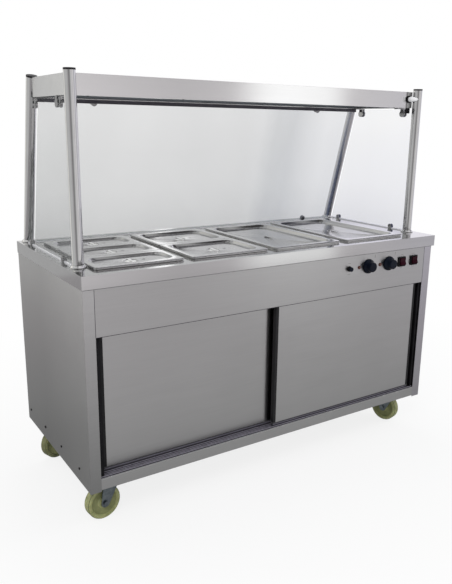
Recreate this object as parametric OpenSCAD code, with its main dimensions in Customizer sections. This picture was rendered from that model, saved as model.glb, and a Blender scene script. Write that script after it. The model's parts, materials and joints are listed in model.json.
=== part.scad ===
// Mobile heated serving counter with a glazed gantry.
// Millimetres. Origin on the floor under the centre of the whole part,
// +X to the right along the counter, +Y to the rear, +Z up.
// Inside a module, y is measured from the middle of the worktop.

/* [Worktop] */
// Length of the worktop
top_l = 1600; // [1590:5:1900]
// Depth of the worktop
top_d = 700; // [700:5:800]
// Height of the worktop above the floor
top_z = 900; // [880:5:950]
// Depth of the folded edge
top_edge = 45; // [30:1:60]
// Sheet steel thickness of worktop and cabinet
sheet = 1.5; // [1:0.1:2]

/* [Cabinet] */
// Inset of the cabinet faces behind the worktop edge
inset = 2; // [2:0.5:4]
// Overhang of the worktop past the right side panel
overhang_r = 16; // [4:1:20]
// Height of the lower edge of the side panels
side_z = 156; // [150:1:160]
// Width of the left front flange
flange_l = 38; // [30:1:45]
// Width of the right front flange
flange_r = 42; // [30:1:45]
// Height of the lower edge of the control fascia
fascia_z = 697; // [680:1:705]
// Height of the lower edge of the bottom rail
rail_z = 162; // [160.5:0.5:166]
// Height of the bottom rail
rail_h = 41; // [38:1:50]
// Height of the shelf's top face
shelf_z = 433; // [380:1:480]

/* [Doors] */
// Thickness of a sliding door
door_t = 18; // [14:1:18]
// Width that the two doors overlap
door_overlap = 66; // [40:1:120]
// Clearance between a door and what guides it
door_clear = 0.5; // [0.4:0.1:0.8]
// Gap between the two doors
door_gap = 12; // [10:1:13]
// Width of each jamb channel
jamb_w = 25; // [18:1:30]
// Distance from the front face to the outer door's face
door_back = 12; // [11:1:14]

/* [Bays and pans] */
// Distance of the first lid from the worktop's left end
bay_in = 67; // [67:1:75]
// Distance between the bays
bay_pitch = 356; // [340:1:360]
// Width of a bay, a standard pan's short side
bay_w = 325; // [320:1:330]
// Depth of a bay, a standard pan's long side
bay_d = 530; // [520:1:535]
// Distance of the lids from the worktop's front edge
bay_back = 58; // [55:1:62]
// Gap between neighbouring lids
lid_gap = 1; // [1:0.5:3]
// Height of a lid's rim above the worktop
lid_rise = 9; // [8:0.5:12]
// Depth of the pans
pan_depth = 100; // [65:5:110]
// Width that a pan's rim rests on the worktop
rim_rest = 10; // [8:0.5:12]
// Sheet thickness of pans and lids
pan_t = 1.2; // [0.8:0.1:1.5]
// Width of a lid's flat rim
lid_rim = 24; // [20:1:28]
// Depth of a lid's folded lip
lid_lip = 4.5; // [3:0.5:6]
// Radius of the finger dish in a lid
dish_r = 24; // [20:1:26]
// Depth of the finger dish
dish_deep = 12; // [8:1:14]
// Space for water and the element under the pans
water_h = 60; // [50:5:70]

/* [Gantry] */
// Distance of the posts from the worktop's ends
post_in = 38; // [32:1:38]
// Outer diameter of a post
post_d = 38; // [32:1:40]
// Wall of a post
post_wall = 1.5; // [1.2:0.1:3]
// Height of the post tops
post_top = 1512; // [1480:1:1560]
// Distance of the front posts from the worktop's front edge
post_back = 127.5; // [125:0.5:127.5]
// Distance of the rear posts' feet from the worktop's rear edge
post_fore = 32; // [30:0.5:34]
// Lean of the rear posts
lean = 14.8; // [14.5:0.1:15]
// Height of a post's cap
cap_h = 6; // [4:0.5:10]
// Diameter of the foot rings
foot_d = 54; // [50:1:56]
// Height of the foot rings
foot_h = 9; // [6:1:9]
// Distance that the hood's left end reaches past the left posts' axis
hood_past = 6; // [0:1:6]
// Distance of the hood's right end before the right posts' axis
hood_short = 10; // [0:1:20]
// Gap between the hood and the front posts
hood_gap_f = 0.5; // [0.5:0.5:8]
// Gap between the hood and the rear posts
hood_gap_b = 1.3; // [1.3:0.1:10]
// Distance of the hood's top below the post tops
hood_drop = 12; // [8:1:30]
// Height of the hood's front face
hood_h = 66; // [55:1:80]
// Height of the lower lip of the hood's rear face
hood_lip = 15; // [5:1:20]
// Glass thickness
glass_t = 6; // [4:0.5:8]
// Gap under the glass panes
glass_lift = 4; // [3:0.5:8]
// Diameter of the clamps that hang the end panes from the hood
clamp_d = 28; // [24:1:30]
// Diameter of the clamps on the hood's rear lip
clamp_lip_d = 24; // [20:1:26]
// Diameter of the clamps on the worktop
clamp_low_d = 20; // [18:1:26]

/* [Controls] */
// Height of the controls' centre line
ctrl_z = 803; // [790:1:820]
// Distance of the push button from the right side panel's face
ctrl_in = 478; // [472:1:490]
// Distance from the push button to the first neon lamp
neon_off = 54; // [48:1:56]
// Distance from the push button to the first knob
knob_off = 105; // [102:1:108]
// Distance from the first neon and knob to the second
ctrl_pitch = 117; // [112:1:122]
// Distance from the push button to the first rocker switch
rocker_off = 298; // [292:1:304]
// Distance between the rocker switches
rocker_pitch = 72; // [60:1:76]
// Diameter of a knob's skirt
knob_d = 60; // [48:1:62]
// Distance that a knob stands out of the fascia
knob_out = 30; // [26:1:36]
// Width of a rocker switch
rocker_w = 38; // [28:1:40]
// Height of a rocker switch
rocker_h = 41; // [36:1:44]
// Diameter of the push button's cap
button_d = 18; // [16:1:22]
// Travel of the push button
button_travel = 5; // [3:0.5:6]

/* [Casters] */
// Height of a caster, floor to plate top
caster_h = 160; // [158:1:160]
// Diameter of a wheel
wheel_d = 125; // [110:1:125]
// Width of a wheel
wheel_w = 36; // [30:1:40]
// Distance from a swivel axis to the wheel's axle
trail = 38; // [30:1:42]
// Distance of the left swivel axes from the left side panel's face
swivel_in_l = 112; // [108:1:118]
// Distance of the right swivel axes from the right side panel's face
swivel_in_r = 57; // [57:1:64]
// Distance of the front swivel axes from the cabinet's front face
swivel_in_f = 98; // [93:1:108]
// Distance of the rear swivel axes from the cabinet's rear face
swivel_in_b = 80; // [76:1:93]
// Radial clearance of a shaft in its bore
run_fit = 0.06; // [0.03:0.01:0.09]

/* [Hidden] */
$fn = 64;

// Clearance between solids that are seated but move apart
seat = 0.3;
// Extra length of a cutting tool past the face it cuts
cut = 1;

// Cable gland that stands out of the rear panel
gland_out = 10;
gland_r = 11;
// Place of the supply box from the left side panel and below the worktop
supply_in = 158;
supply_drop = 110;
// Shift that centres the part between its knobs and its gland
mid_y = (knob_out - gland_out) / 2;

// Cabinet faces
cab_x0 = -top_l / 2 + inset;
cab_x1 = top_l / 2 - overhang_r;
cab_y0 = -top_d / 2 + inset;
cab_y1 = top_d / 2 - inset;
in_x0 = cab_x0 + sheet;
in_x1 = cab_x1 - sheet;
in_y0 = cab_y0 + sheet;
in_y1 = cab_y1 - sheet;
under_top = top_z - sheet;
deck_drop = 7;
deck_z = rail_z + rail_h - deck_drop;

// Doors and their guides
jamb_x0 = cab_x0 + flange_l;
jamb_x1 = cab_x1 - flange_r;
door_x0 = jamb_x0 + jamb_w + door_clear;
door_x1 = jamb_x1 - jamb_w - door_clear;
door_w = (door_x1 - door_x0 + door_overlap) / 2;
door_travel = door_x1 - door_x0 - door_w;
outer_y = cab_y0 + door_back;
inner_y = outer_y + door_t + door_gap;
track_t = 2;
track_side = 5.5;
track_lip = 9;
track_front = 11;
jamb_front = 13;
track_hide = 22;
track_drop = 14;
rib_pitch = 4;
rib_w = 1.6;
door_low = 20;
door_high = 4;
track_floor = deck_z + track_t;
track_y0 = outer_y - track_side;
track_y1 = inner_y + door_t + track_side;
track_mid = inner_y - door_gap / 2;
track_top_z = fascia_z + track_hide;
door_z0 = track_floor + door_low;
door_z1 = track_top_z - door_high;
strip_w = 12;
strip_low = 5;
door_skin = 1.2;

// Pans
rim_z = top_z + lid_rise - pan_t - seat;
pan_inset = 2;
pan_corner = 22;
tank_out = 5;
tank_out_l = 2;
tank_out_r = 6;
bay_x = bay_in - top_l / 2;
bay_y = bay_back - top_d / 2;
tank_y0 = bay_y - tank_out;
tank_y1 = bay_y + bay_d + tank_out;
tank_x0 = bay_x - tank_out_l;
tank_x1 = bay_x + 3 * bay_pitch + bay_w + tank_out_r;
tank_z = top_z - pan_depth - water_h;

// Gantry
post_x = top_l / 2 - post_in;
post_y_front = post_back - top_d / 2;
post_y_rear = top_d / 2 - post_fore;
hood_z1 = post_top - hood_drop;
hood_z0 = hood_z1 - hood_h;
lip_z = hood_z0 - hood_lip;
glass_off = 9;
glass_x = post_x + glass_off;
lean_run = tan(lean);
// Distance along y of the rear posts' axis at a height
function rear_y(z) = post_y_rear - lean_run * (z - top_z);
post_gap_y = post_d / 2 / cos(lean);
hood_x0 = -post_x - hood_past;
hood_x1 = post_x - hood_short;
hood_y0 = post_y_front + post_d / 2 + hood_gap_f;
hood_y1 = rear_y(hood_z1) - post_gap_y - hood_gap_b;
glass_gap = 1;
glass_side = 7;
rear_glass_off = post_gap_y + glass_gap + glass_t / 2 / cos(lean);
// Rear pane in the leaning axes of the rear posts
rear_local_y = -rear_glass_off * cos(lean);
rear_local_z0 = (glass_lift - rear_local_y * sin(lean)) / cos(lean);
rear_local_z1 = rear_local_z0 + (lip_z + 4 - top_z - glass_lift) / cos(lean);
rear_glass_y1 = post_y_rear - lean_run * (lip_z + 4 - top_z) - rear_glass_off;
end_glass_drop = 4.6;
clamp_t = glass_t + 12;
clamp_low_t = glass_t + 8;
clamp_foot = 9;
clamp_foot_low = 6;
clamp_drop = 23;
clamp_low_y = [post_y_front + 108.5, post_y_rear - 77];
clamp_high_y = [hood_y0 + 63, hood_y1 - 20.5];
clamp_low_in = 185;
clamp_high_in = [226, 227];

// Controls
button_x = cab_x1 - ctrl_in;
neon_x = button_x + neon_off;
knob_x = button_x + knob_off;
rocker_x = button_x + rocker_off;

// Casters, front left, front right, rear left, rear right: swivel x, swivel y, direction of the trail
swivel_l = cab_x0 + swivel_in_l;
swivel_r = cab_x1 - swivel_in_r;
swivel_f = cab_y0 + swivel_in_f;
swivel_b = cab_y1 - swivel_in_b;
caster_at = [
  [swivel_l, swivel_f, 187],
  [swivel_r, swivel_f, 104],
  [swivel_l, swivel_b, 199],
  [swivel_r, swivel_b, 205]
];
axle_r = 6;
hub_w = wheel_w + 4;
leg_t = 4;
race_z = caster_h - 16;
crown_t = 4;
crown_z = race_z - seat - crown_t;

// Colours
steel = [0.72, 0.73, 0.73];
dark = [0.12, 0.12, 0.13];
clear = [0.8, 0.88, 0.86, 0.35];
zinc = [0.6, 0.64, 0.7];
nylon = [0.82, 0.8, 0.62];
cream = [0.92, 0.92, 0.9];

// Helpers

module in_frame() {
  translate([0, mid_y, 0]) children();
}

// Box between two corners
module span(a, b) {
  translate(a) cube(b - a);
}

// Cylinder along X, Y or Z from a point
module rod_x(p, r, l) {
  translate(p) rotate([0, 90, 0]) cylinder(r = r, h = l);
}

module rod_y(p, r, l) {
  translate(p) rotate([-90, 0, 0]) cylinder(r = r, h = l);
}

module rod_z(p, r, l) {
  translate(p) cylinder(r = r, h = l);
}

// Rounded rectangle with its low corner at the origin
module round_rect(w, d, r) {
  translate([r, 0]) square([w - 2 * r, d]);
  translate([0, r]) square([w, d - 2 * r]);
  for (x = [r, w - r], y = [r, d - r]) translate([x, y]) circle(r = r, $fn = 48);
}

module round_slab(x, y, z, w, d, h, r) {
  translate([x, y, z]) linear_extrude(h) round_rect(w, d, r);
}

// Cabinet

module worktop() {
  color(steel) in_frame() difference() {
    span([-top_l / 2, -top_d / 2, top_z - top_edge], [top_l / 2, top_d / 2, top_z]);
    span(
      [-top_l / 2 + sheet, -top_d / 2 + sheet, top_z - top_edge - cut],
      [top_l / 2 - sheet, top_d / 2 - sheet, under_top]
    );
    for (i = [0 : 3])
      round_slab(
        bay_x + i * bay_pitch + rim_rest, bay_y + rim_rest, under_top - cut,
        bay_w - 2 * rim_rest, bay_d - 2 * rim_rest, sheet + 2 * cut, pan_corner + 4
      );
  }
}

// Side panel with its front flange and its shelf ledge; the inside is towards +X
module side_panel(flange) {
  ledge_y0 = inner_y + door_t + 12;
  span([0, cab_y0, side_z], [sheet, cab_y1, under_top]);
  span([0, cab_y0, side_z], [flange, in_y0, under_top]);
  span([0, ledge_y0, shelf_z - 2 * sheet], [sheet + 20, in_y1 - 20, shelf_z - sheet]);
}

module left_side_panel() {
  color(steel) in_frame() translate([cab_x0, 0, 0]) side_panel(flange_l);
}

module right_side_panel() {
  color(steel) in_frame() translate([cab_x1, 0, 0]) mirror([1, 0, 0]) side_panel(flange_r);
}

supply_x = cab_x0 + supply_in;
supply_z = top_z - supply_drop;

module rear_panel() {
  color(steel) in_frame() difference() {
    span([in_x0, in_y1, rail_z], [in_x1, cab_y1, under_top]);
    rod_y([supply_x, in_y1 - cut, supply_z], gland_r - 2 + run_fit, sheet + 2 * cut);
  }
}

shaft_r = 3;
button_out = 15;
neon_r = 7.5;
rocker_rim = 4;
rocker_frame = 6;
rocker_tilt = 9;
pin_r = 1.5;
pin_l = 1.2;
housing_r = button_d / 2 + 2;

module control_fascia() {
  color(steel) in_frame() difference() {
    union() {
      span([jamb_x0, cab_y0, fascia_z], [jamb_x1, in_y0, under_top]);
      span([jamb_x0, cab_y0, fascia_z], [jamb_x1, track_y0 - 0.5, fascia_z + sheet]);
    }
    for (i = [0, 1]) {
      rod_y([knob_x + i * ctrl_pitch, cab_y0 - cut, ctrl_z], shaft_r + 2, sheet + 2 * cut);
      rod_y([neon_x + i * ctrl_pitch, cab_y0 - cut, ctrl_z], neon_r - 1, sheet + 2 * cut);
      translate([rocker_x + i * rocker_pitch, 0, ctrl_z])
        span([-rocker_w / 2 + 2, cab_y0 - cut, -rocker_h / 2 + 2],
             [rocker_w / 2 - 2, in_y0 + cut, rocker_h / 2 - 2]);
    }
    rod_y([button_x, cab_y0 - cut, ctrl_z], housing_r - 3, sheet + 2 * cut);
  }
}

// Floor of the cupboard, its front rail and the channels that carry the casters
module base_tray() {
  channel = 55;
  color(steel) in_frame() {
    span([in_x0, cab_y0 + 3, deck_z - sheet], [in_x1, in_y1, deck_z]);
    span([jamb_x0, cab_y0, rail_z], [jamb_x1, cab_y0 + 3, rail_z + rail_h]);
    span([jamb_x0, cab_y0, rail_z], [jamb_x1, cab_y0 + 20, rail_z + sheet]);
    for (x = [swivel_l, swivel_r], s = [-1, 1]) {
      span([x - channel, in_y0 + 25, caster_h], [x + channel, in_y1 - 10, caster_h + sheet]);
      translate([x + s * (channel - sheet / 2), 0, 0])
        span([-sheet / 2, in_y0 + 25, caster_h], [sheet / 2, in_y1 - 10, deck_z - sheet]);
    }
  }
}

// Ribbed floor track and hanging top track, each with a lip between the doors
module door_tracks() {
  ribs = floor((track_mid - track_y0 - 10) / rib_pitch);
  color([0.75, 0.76, 0.78]) in_frame() {
    span([jamb_x0, track_y0, deck_z], [jamb_x1, track_y1, track_floor]);
    for (y = [track_y0, track_mid - 1, track_y1 - track_t])
      span([jamb_x0, y, deck_z], [jamb_x1, y + track_t, deck_z + (y == track_y0 ? track_front : track_lip)]);
    for (i = [0 : ribs])
      span([jamb_x0, track_y0 + 4 + i * rib_pitch, deck_z],
           [jamb_x1, track_y0 + 4 + rib_w + i * rib_pitch, track_floor + 0.6]);
    span([jamb_x0, in_y0, track_top_z], [jamb_x1, track_y1, track_top_z + track_t]);
    for (y = [track_y0, track_mid - 1, track_y1 - track_t])
      span([jamb_x0, y, track_top_z - track_drop], [jamb_x1, y + track_t, track_top_z + track_t]);
  }
}

// Upright channels that the doors close against
module jamb() {
  base = 3;
  z0 = deck_z + max(track_front, track_lip) + seat;
  z1 = track_top_z - track_drop - seat;
  span([0, track_y0, z0], [base, track_y1, z1]);
  span([0, track_y0, z0], [jamb_front, track_y0 + track_t, z1]);
  for (y = [track_mid - 1, track_y1 - track_t])
    span([0, y, z0], [jamb_w, y + track_t, z1]);
}

module door_jambs() {
  color([0.35, 0.35, 0.36]) in_frame() {
    translate([jamb_x0, 0, 0]) jamb();
    translate([jamb_x1, 0, 0]) mirror([1, 0, 0]) jamb();
  }
}

module cupboard_shelf() {
  y0 = inner_y + door_t + 14;
  y1 = in_y1 - 24;
  x0 = in_x0 + 2;
  x1 = in_x1 - 2;
  color(steel) in_frame() {
    span([x0, y0, shelf_z - sheet], [x1, y1, shelf_z]);
    span([x0 + 22, y0, shelf_z - 25], [x1 - 22, y0 + sheet, shelf_z]);
    span([x0 + 22, y1 - sheet, shelf_z - 25], [x1 - 22, y1, shelf_z]);
  }
}

// Water bath and heating

drain_x = tank_x1 - 60;
drain_y = 120;
drain_r = 10;

module bain_marie_tank() {
  color(steel) in_frame() difference() {
    union() {
      span([tank_x0, tank_y0, tank_z], [tank_x1, tank_y1, under_top]);
      span([tank_x0 - 12, tank_y0 - 12, under_top - sheet], [tank_x1 + 12, tank_y1 + 12, under_top]);
    }
    span(
      [tank_x0 + sheet, tank_y0 + sheet, tank_z + sheet],
      [tank_x1 - sheet, tank_y1 - sheet, under_top + cut]
    );
    rod_z([drain_x, drain_y, tank_z - cut], drain_r, sheet + 2 * cut);
    for (s = [-1, 1])
      rod_y([element_x + s * element_w / 2, tank_y1 - sheet - cut, element_z],
            element_r + 0.05, sheet + 2 * cut);
  }
}

// Bars that carry the small pans between them
module pan_bars() {
  bar = 8;
  color(steel) in_frame() {
    for (i = [1, 2])
      translate([bay_x, bay_y + i * bay_d / 3, 0]) bar_across(bar);
    translate([bay_x + bay_pitch, bay_y + bay_d / 2, 0]) bar_across(bar);
  }
}

module bar_across(bar) {
  span([rim_rest, -bar, top_z - 8], [bay_w - rim_rest, bar, top_z - sheet]);
  span([2, -bar, top_z], [bay_w - 2, bar, top_z + 0.7]);
  span([rim_rest, -bar, top_z - 8], [bay_w - rim_rest, bar, top_z + 0.7]);
}

element_r = 4;
element_x = (tank_x0 + tank_x1) / 2;
element_w = 70;
element_z = tank_z + 24;
element_in = 60;
element_foot = 6;

// U-shaped element that lies in the water and leaves by the rear wall
module tank_element() {
  front = tank_y0 + element_in;
  y1 = tank_y1 + 20;
  color([0.4, 0.4, 0.42]) in_frame() {
    for (s = [-1, 1])
      rod_y([element_x + s * element_w / 2, front, element_z], element_r, y1 - front);
    translate([element_x, front, element_z]) rotate([0, 0, 180])
      rotate_extrude(angle = 180) translate([element_w / 2, 0]) circle(r = element_r, $fn = 32);
    span([element_x - element_w / 2 - 10, tank_y1, element_z - element_foot],
         [element_x + element_w / 2 + 10, tank_y1 + 3, element_z + element_foot]);
  }
}

// Dry element on the rear wall of the cupboard
module cupboard_heater() {
  x = 0;
  z0 = deck_z + 60;
  rows = 3;
  w = 500;
  color([0.4, 0.4, 0.42]) in_frame() {
    for (s = [-1, 1])
      span([x + s * w / 2 - 12, in_y1 - 16, z0 - 20], [x + s * w / 2 + 12, in_y1, z0 + rows * 40 - 20]);
    for (i = [0 : rows - 1])
      rod_x([x - w / 2 + 12, in_y1 - 9, z0 + i * 40], 4, w - 24);
  }
}

// Drain of the water bath with its ball valve
module drain_pipe() {
  z = tank_z - 24;
  color([0.72, 0.6, 0.35]) in_frame() {
    difference() {
      union() {
        rod_z([drain_x, drain_y, z], drain_r - run_fit, tank_z - z + sheet);
        rod_z([drain_x, drain_y, tank_z - 4], drain_r + 6, 4);
        rod_z([drain_x, drain_y, z - 8], drain_r + 4, 10);
      }
      rod_z([drain_x, drain_y, z - 8 - cut], drain_r - 3, tank_z - z + 12 + 2 * cut);
    }
  }
}

// Controls

module thermostats() {
  color([0.8, 0.8, 0.76]) in_frame()
    for (i = [0, 1]) translate([knob_x + i * ctrl_pitch, 0, ctrl_z]) {
      span([-22, in_y0, -22], [22, in_y0 + 34, 22]);
      rod_y([0, cab_y0 - 14, 0], shaft_r, 14 + sheet);
    }
}

module neon_lamps() {
  color([0.9, 0.45, 0.15]) in_frame()
    for (i = [0, 1]) translate([neon_x + i * ctrl_pitch, 0, ctrl_z]) {
      rod_y([0, cab_y0 - 2, 0], neon_r, 2);
      rod_y([0, cab_y0 - 4, 0], neon_r - 2, 4);
      rod_y([0, cab_y0, 0], neon_r - 1.2, 24);
    }
}

// Frames and bodies of the rocker switches, and the sleeve of the push button
module switch_housings() {
  color(dark) in_frame() {
    for (i = [0, 1]) translate([rocker_x + i * rocker_pitch, 0, ctrl_z]) difference() {
      union() {
        span([-rocker_w / 2, cab_y0 - rocker_frame, -rocker_h / 2], [rocker_w / 2, cab_y0, rocker_h / 2]);
        span([-rocker_w / 2 + 2.3, cab_y0 - 1, -rocker_h / 2 + 2.3],
             [rocker_w / 2 - 2.3, cab_y0 + 28, rocker_h / 2 - 2.3]);
      }
      span([-rocker_w / 2 + rocker_rim, cab_y0 - rocker_frame - cut, -rocker_h / 2 + 4],
           [rocker_w / 2 - rocker_rim, cab_y0 + 14, rocker_h / 2 - 4]);
      rod_x([-rocker_w / 2 + rocker_rim - pin_l, cab_y0 - 1, 0], pin_r + run_fit,
            rocker_w - 2 * rocker_rim + 2 * pin_l);
    }
    translate([button_x, 0, ctrl_z]) difference() {
      union() {
        rod_y([0, cab_y0 - 4, 0], housing_r, 4);
        rod_y([0, cab_y0 - 2, 0], housing_r - 3.2, 34);
      }
      rod_y([0, cab_y0 - 4 - cut, 0], button_d / 2 - 4 + run_fit, 24 + cut);
    }
  }
}

module supply_box() {
  color(dark) in_frame() {
    span([supply_x - 60, in_y1 - 50, supply_z - 40], [supply_x + 60, in_y1, supply_z + 40]);
    difference() {
      union() {
        rod_y([supply_x, in_y1 - cut, supply_z], gland_r - 2, sheet + 2);
        rod_y([supply_x, cab_y1, supply_z], gland_r, gland_out);
      }
      rod_y([supply_x, cab_y1 + 2, supply_z], 4.5, gland_out);
    }
  }
}

module rocker_body() {
  half = rocker_h / 2 - 4.5;
  deep = 12;
  wide = rocker_w - 2 * rocker_rim - 2 * seat;
  color([0.45, 0.05, 0.07]) rotate([-rocker_tilt, 0, 0]) {
    translate([-wide / 2, 0, 0]) rotate([90, 0, 90])
      linear_extrude(wide) polygon([
        [-deep, -half + 1.5], [3 - deep, 0], [-deep, half - 1.5],
        [-4, half - 1], [3, 5], [3, -5], [-4, -half + 1]
      ]);
    rod_x([-wide / 2 - pin_l, 0, 0], pin_r, wide + 2 * pin_l);
  }
}

module knob_body() {
  skirt = 12;
  color([0.08, 0.09, 0.12]) difference() {
    rotate([90, 0, 0]) union() {
      rotate_extrude() polygon([
        [0, seat], [knob_d / 2 - 1, seat], [knob_d / 2, 2], [knob_d / 2 - 1, 6],
        [knob_d / 3 + 1, skirt], [knob_d / 3, knob_out - 2], [knob_d / 3 - 2, knob_out], [0, knob_out]
      ]);
    }
    rod_y([0, -14 - seat, 0], shaft_r + run_fit, 14 + seat + cut);
  }
}

module knob_left() {
  in_frame() translate([knob_x, cab_y0, ctrl_z]) knob_body();
}

module knob_right() {
  in_frame() translate([knob_x + ctrl_pitch, cab_y0, ctrl_z]) knob_body();
}

module rocker_left() {
  in_frame() translate([rocker_x, cab_y0 - 1, ctrl_z]) rocker_body();
}

module rocker_right() {
  in_frame() translate([rocker_x + rocker_pitch, cab_y0 - 1, ctrl_z]) rocker_body();
}

module push_button() {
  color(dark) in_frame() translate([button_x, cab_y0, ctrl_z]) {
    rod_y([0, -button_out, 0], button_d / 2, button_out - 4 - button_travel - seat);
    rod_y([0, -12, 0], button_d / 2 - 4, 26);
  }
}

// Doors

// Double skin, open at its top and bottom edges
module door_panel(x, y) {
  color(steel) in_frame() difference() {
    span([x + strip_w, y, door_z0], [x + door_w - strip_w, y + door_t, door_z1]);
    span([x + strip_w + door_skin, y + door_skin, door_z0 - cut],
         [x + door_w - strip_w - door_skin, y + door_t - door_skin, door_z1 + cut]);
  }
}

glide_in = 60;
glide_l = 60;

// Plastic edge strips, lower edge and glides of a door
module door_trim(x, y) {
  color(dark) in_frame() {
    for (e = [x, x + door_w - strip_w])
      span([e, y, door_z0 - strip_low], [e + strip_w, y + door_t, door_z1]);
    span([x, y + 1, door_z0 - strip_low], [x + door_w, y + door_t - 1, door_z0]);
    for (e = [x + glide_in, x + door_w - glide_in - glide_l]) {
      span([e, y + 4, track_floor + 0.6 + seat], [e + glide_l, y + door_t - 4, door_z0]);
      span([e, y + 4, door_z1], [e + glide_l, y + door_t - 4, track_top_z - seat]);
    }
  }
}

module left_door() {
  door_panel(door_x0, inner_y);
}

module left_door_trim() {
  door_trim(door_x0, inner_y);
}

module right_door() {
  door_panel(door_x1 - door_w, outer_y);
}

module right_door_trim() {
  door_trim(door_x1 - door_w, outer_y);
}

// Gantry

// Place children on the rear posts' leaning axis, with the worktop at z = 0
module leaning(x) {
  translate([x, post_y_rear, top_z]) rotate([lean, 0, 0]) children();
}

module gantry_posts() {
  slant = (post_top - cap_h - top_z) / cos(lean);
  color(steel) in_frame() for (x = [-post_x, post_x]) {
    translate([x, post_y_front, top_z]) difference() {
      cylinder(d = post_d, h = post_top - cap_h - top_z);
      translate([0, 0, -cut])
        cylinder(d = post_d - 2 * post_wall, h = post_top - cap_h - top_z + 2 * cut);
    }
    difference() {
      leaning(x) translate([0, 0, -post_d]) cylinder(d = post_d, h = slant + post_d - 4);
      leaning(x) translate([0, 0, -post_d - cut])
        cylinder(d = post_d - 2 * post_wall, h = slant + post_d + 2 * cut);
      span([x - post_d, post_y_rear - post_d * 2, top_z - post_d * 2], [x + post_d, post_y_rear + post_d * 2, top_z]);
    }
  }
}

module post_feet() {
  color([0.85, 0.85, 0.86]) in_frame() for (x = [-post_x, post_x]) {
    translate([x, post_y_front, top_z]) difference() {
      foot_ring();
      translate([0, 0, -cut]) cylinder(d = post_d + 2 * run_fit, h = foot_h + 2 * cut);
    }
    difference() {
      translate([x, post_y_rear, top_z]) foot_ring();
      leaning(x) translate([0, 0, -post_d]) cylinder(d = post_d + 2 * run_fit, h = post_d * 3);
    }
  }
}

module foot_ring() {
  rotate_extrude() polygon([
    [0, 0], [foot_d / 2 - 0.5, 0], [foot_d / 2, 1], [foot_d / 2, 3],
    [foot_d / 2 - 2, 5], [post_d / 2 + 3, foot_h], [0, foot_h]
  ]);
}

module post_caps() {
  slant = (post_top - cap_h - top_z) / cos(lean) - 4;
  color(dark) in_frame() for (x = [-post_x, post_x]) {
    translate([x, post_y_front, post_top - cap_h]) cap();
    leaning(x) translate([0, 0, slant]) cap();
  }
}

module cap() {
  cylinder(d = post_d, h = cap_h);
  translate([0, 0, -8]) cylinder(d = post_d - 2 * post_wall - 0.1, h = 9);
}

screw_y = hood_y0 + 8;

module hood_shell() {
  color(steel) in_frame() difference() {
    union() {
      difference() {
        span([hood_x0, hood_y0, hood_z0], [hood_x1, hood_y1, hood_z1]);
        span([hood_x0 + sheet, hood_y0 + sheet, hood_z0 - cut],
             [hood_x1 - sheet, hood_y1 - sheet, hood_z1 - sheet]);
      }
      span([hood_x0, hood_y0, hood_z0], [hood_x1, hood_y0 + 16, hood_z0 + sheet]);
      span([hood_x0, hood_y1 - 16, hood_z0], [hood_x1, hood_y1, hood_z0 + sheet]);
      span([hood_x0, hood_y1 - sheet, lip_z], [hood_x1, hood_y1, hood_z0 + sheet]);
    }
    for (i = [0 : 4])
      rod_z([hood_screw_x(i), screw_y, hood_z0 - cut], 2.1, sheet + 2 * cut);
  }
}

// Hood screws from the left and the right end of the hood
screw_in_l = 71;
screw_in_r = 97;

function hood_screw_x(i) = hood_x0 + screw_in_l + i * (hood_x1 - hood_x0 - screw_in_l - screw_in_r) / 4;

// Quartz lamps under the hood, each between two ceramic blocks
module heat_lamps() {
  lamp_l = 250;
  n = 4;
  pitch = (hood_x1 - hood_x0) / n;
  lamp_y = (hood_y0 + hood_y1) / 2;
  lamp_z = hood_z0 + 32;
  color(cream) in_frame() for (i = [0 : n - 1]) {
    x = hood_x0 + (i + 0.5) * pitch;
    rod_x([x - lamp_l / 2, lamp_y, lamp_z], 6, lamp_l);
    for (s = [-1, 1])
      span([x + s * lamp_l / 2 - 8, lamp_y - 10, lamp_z - 9],
           [x + s * lamp_l / 2 + 8, lamp_y + 10, hood_z1 - sheet]);
  }
}

// Conduit with its locknuts, from the right front post to the hood, and the bracket below
module cable_conduit() {
  r = 8;
  x0 = hood_x1 - 22;
  z = hood_z0 + 36;
  y = hood_y0 - 27;
  color(cream) in_frame() difference() {
    union() {
      rod_x([x0, y, z], r, post_x - x0);
      rod_y([x0, y, z], r, hood_y0 - y);
      translate([x0, y, z]) sphere(r = r);
      rod_y([x0, hood_y0 - 4, z], r + 6, 4);
    }
    translate([post_x, post_y_front, z - 2 * r]) cylinder(r = post_d / 2 + seat, h = 4 * r);
  }
}

// Rear pane, in front of the leaning posts
module rear_glass() {
  half = post_x - 17;
  color(clear) in_frame() leaning(0) translate([0, rear_local_y, 0])
    span([-half, -glass_t / 2, rear_local_z0 + 1], [half, glass_t / 2, rear_local_z1]);
}

// End panes, cut to the lean of the rear posts
module end_glasses() {
  z0 = top_z + glass_lift;
  z1 = hood_z0 - end_glass_drop;
  y0 = post_y_front + post_d / 2 + glass_side;
  y_low = rear_y(z0) - post_gap_y - glass_side;
  y_high = rear_y(z1) - post_gap_y - glass_side;
  color(clear) in_frame() for (x = [-glass_x, glass_x])
    translate([x - glass_t / 2, 0, 0]) rotate([90, 0, 90])
      linear_extrude(glass_t) polygon([[y0, z0], [y_low, z0], [y_high, z1], [y0, z1]]);
}

// Two discs and their foot; the foot stands at z = 0 and reaches up to the discs at h
module clamp_body(h, d, t, foot) {
  rod_x([-t / 2, 0, h], d / 2, t);
  span([-t / 2, -foot, 0], [t / 2, foot, h]);
}

// Slot for a pane whose edge lies at z = edge, open away from the foot
module clamp_slot(edge) {
  span([-glass_t / 2 - 0.05, -clamp_d, edge - seat], [glass_t / 2 + 0.05, clamp_d, 200]);
}

module end_clamp_low() {
  difference() {
    clamp_body(clamp_low_d / 2 + 1, clamp_low_d, clamp_low_t, clamp_foot_low);
    clamp_slot(glass_lift);
  }
}

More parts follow.
